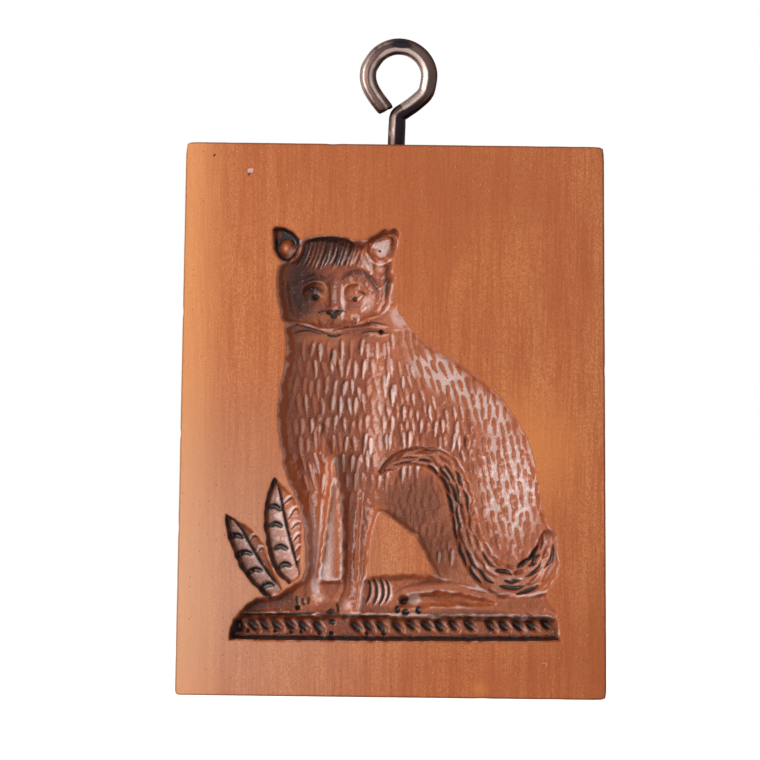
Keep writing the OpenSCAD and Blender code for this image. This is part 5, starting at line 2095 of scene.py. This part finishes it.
@dataclass
class Studio:
    """Camera, soft light from the left, and a pale floor."""

    frame_middle: Triple = (-2.68, -9.0, 58.82)
    frame_height: float = 140.85
    distance: float = 2500.0
    roll: float = 0.7
    sensor: float = 36.0
    key_from: Triple = (-0.77, -0.63, 0.12)
    key_away: float = 0.55
    key_size: Point = (0.5, 0.36)
    key_power: float = 4.1
    fill_from: Triple = (0.25, -0.9, 0.55)
    fill_away: float = 0.9
    fill_size: Point = (0.7, 0.7)
    fill_power: float = 1.4
    look_at: Triple = (0.0, 0.0, 0.056)
    ambient: float = 0.16
    white: Colour = (1, 1, 1, 1)
    floor_half: float = 3.0
    floor_drop: float = 0.00005
    floor_tone: Colour = (0.8, 0.8, 0.8, 1)
    floor_glow: float = 0.88

    def build(self) -> None:
        """Sets up everything round the mould."""
        scene = bpy.context.scene
        scene.view_settings.view_transform = "Standard"
        self.camera(scene)
        self.lamp("key", self.key_from, self.key_away, self.key_size, self.key_power)
        self.lamp("fill", self.fill_from, self.fill_away, self.fill_size, self.fill_power)
        self.world(scene)
        self.floor(scene)

    def camera(self, scene: bpy.types.Scene) -> None:
        """Places the camera square to the face, rolled as the picture is.

        Args:
            scene: The scene.
        """
        data = bpy.data.cameras.new("camera")
        data.sensor_width = self.sensor
        data.lens = self.sensor * self.distance / self.frame_height
        data.clip_end = 20
        camera = bpy.data.objects.new("camera", data)
        x, y, z = self.frame_middle
        camera.location = Vector((x, y - self.distance, z)) * MM
        camera.rotation_euler = Euler((math.pi / 2, -math.radians(self.roll), 0))
        scene.collection.objects.link(camera)
        scene.camera = camera

    def lamp(self, name: str, toward: Triple, away: float, size: Point, power: float) -> None:
        """Places one soft lamp that looks at the mould.

        Args:
            name: Its name.
            toward: Direction it stands in.
            away: Distance it stands at.
            size: Width and height of its panel.
            power: Its power.
        """
        data = bpy.data.lights.new(name, "AREA")
        data.shape, data.size, data.size_y, data.energy = "RECTANGLE", size[0], size[1], power
        lamp = bpy.data.objects.new(name, data)
        direction = Vector(toward).normalized()
        lamp.location = Vector(self.look_at) + direction * away
        lamp.rotation_euler = direction.to_track_quat("Z", "Y").to_euler()
        bpy.context.scene.collection.objects.link(lamp)

    def seen(self, sheet: Sheet) -> Value:
        """1 for rays that show the background, straight or in a reflection.

        Args:
            sheet: The nodes of a material or world.

        Returns:
            The share.
        """
        path = sheet.node("ShaderNodeLightPath")
        straight, glossy, through = (
            Value(sheet, path.outputs[k]) for k in ("Is Camera Ray", "Is Glossy Ray", "Is Transmission Ray")
        )
        settings = {"operation": "ADD", "use_clamp": True}
        return sheet.value("ShaderNodeMath", settings, {0: straight + glossy, 1: through})

    def world(self, scene: bpy.types.Scene) -> None:
        """White background with a dim even light.

        Args:
            scene: The scene.
        """
        world = bpy.data.worlds.new("studio")
        world.use_nodes = True
        scene.world = world
        sheet = Sheet(world.node_tree)
        strength = self.ambient + self.seen(sheet) * (1 - self.ambient)
        sky = sheet.value("ShaderNodeBackground", None, {"Color": self.white, "Strength": strength})
        sheet.node("ShaderNodeOutputWorld", None, {"Surface": sky})

    def floor(self, scene: bpy.types.Scene) -> None:
        """Pale floor that keeps the mould's shadow.

        Args:
            scene: The scene.
        """
        h = self.floor_half
        mesh = bpy.data.meshes.new("floor")
        mesh.from_pydata([(-h, -h, 0), (h, -h, 0), (h, h, 0), (-h, h, 0)], [], [(0, 1, 2, 3)])
        floor = bpy.data.objects.new("floor", mesh)
        floor.location.z = -self.floor_drop
        scene.collection.objects.link(floor)
        material, sheet = Sheet.of_material("pale_floor")
        matt = sheet.value("ShaderNodeBsdfDiffuse", None, {"Color": self.floor_tone})
        inputs = {"Color": self.white, "Strength": self.seen(sheet) * self.floor_glow}
        glow = sheet.value("ShaderNodeEmission", None, inputs)
        both = sheet.value("ShaderNodeAddShader", None, {0: matt, 1: glow})
        sheet.node("ShaderNodeOutputMaterial", None, {"Surface": both})
        mesh.materials.append(material)


def corners(box: tuple[Vector, Vector]) -> list[list[float]]:
    """A box as plain lists of numbers."""
    return [list(box[0]), list(box[1])]


def main() -> None:
    """Builds the mould and its studio."""
    logging.basicConfig(level=logging.INFO, format="%(name)s: %(message)s")
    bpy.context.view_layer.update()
    carving = Carving(CatHead(), CatBody(), CatLegs(), CatTail(), LEAVES, Plinth())
    block, eye = MouldBlock(), ScrewEye()
    piece = block.build(carving)
    block.dress(piece, CarvedFinish())
    log.info("%s: %d faces", piece.name, len(piece.data.polygons))
    piece = eye.build()
    eye.dress(piece, TarnishedWire())
    log.info("%s: %d faces", piece.name, len(piece.data.polygons))
    Studio().build()
    bpy.context.view_layer.update()


if __name__ == "__main__":
    main()
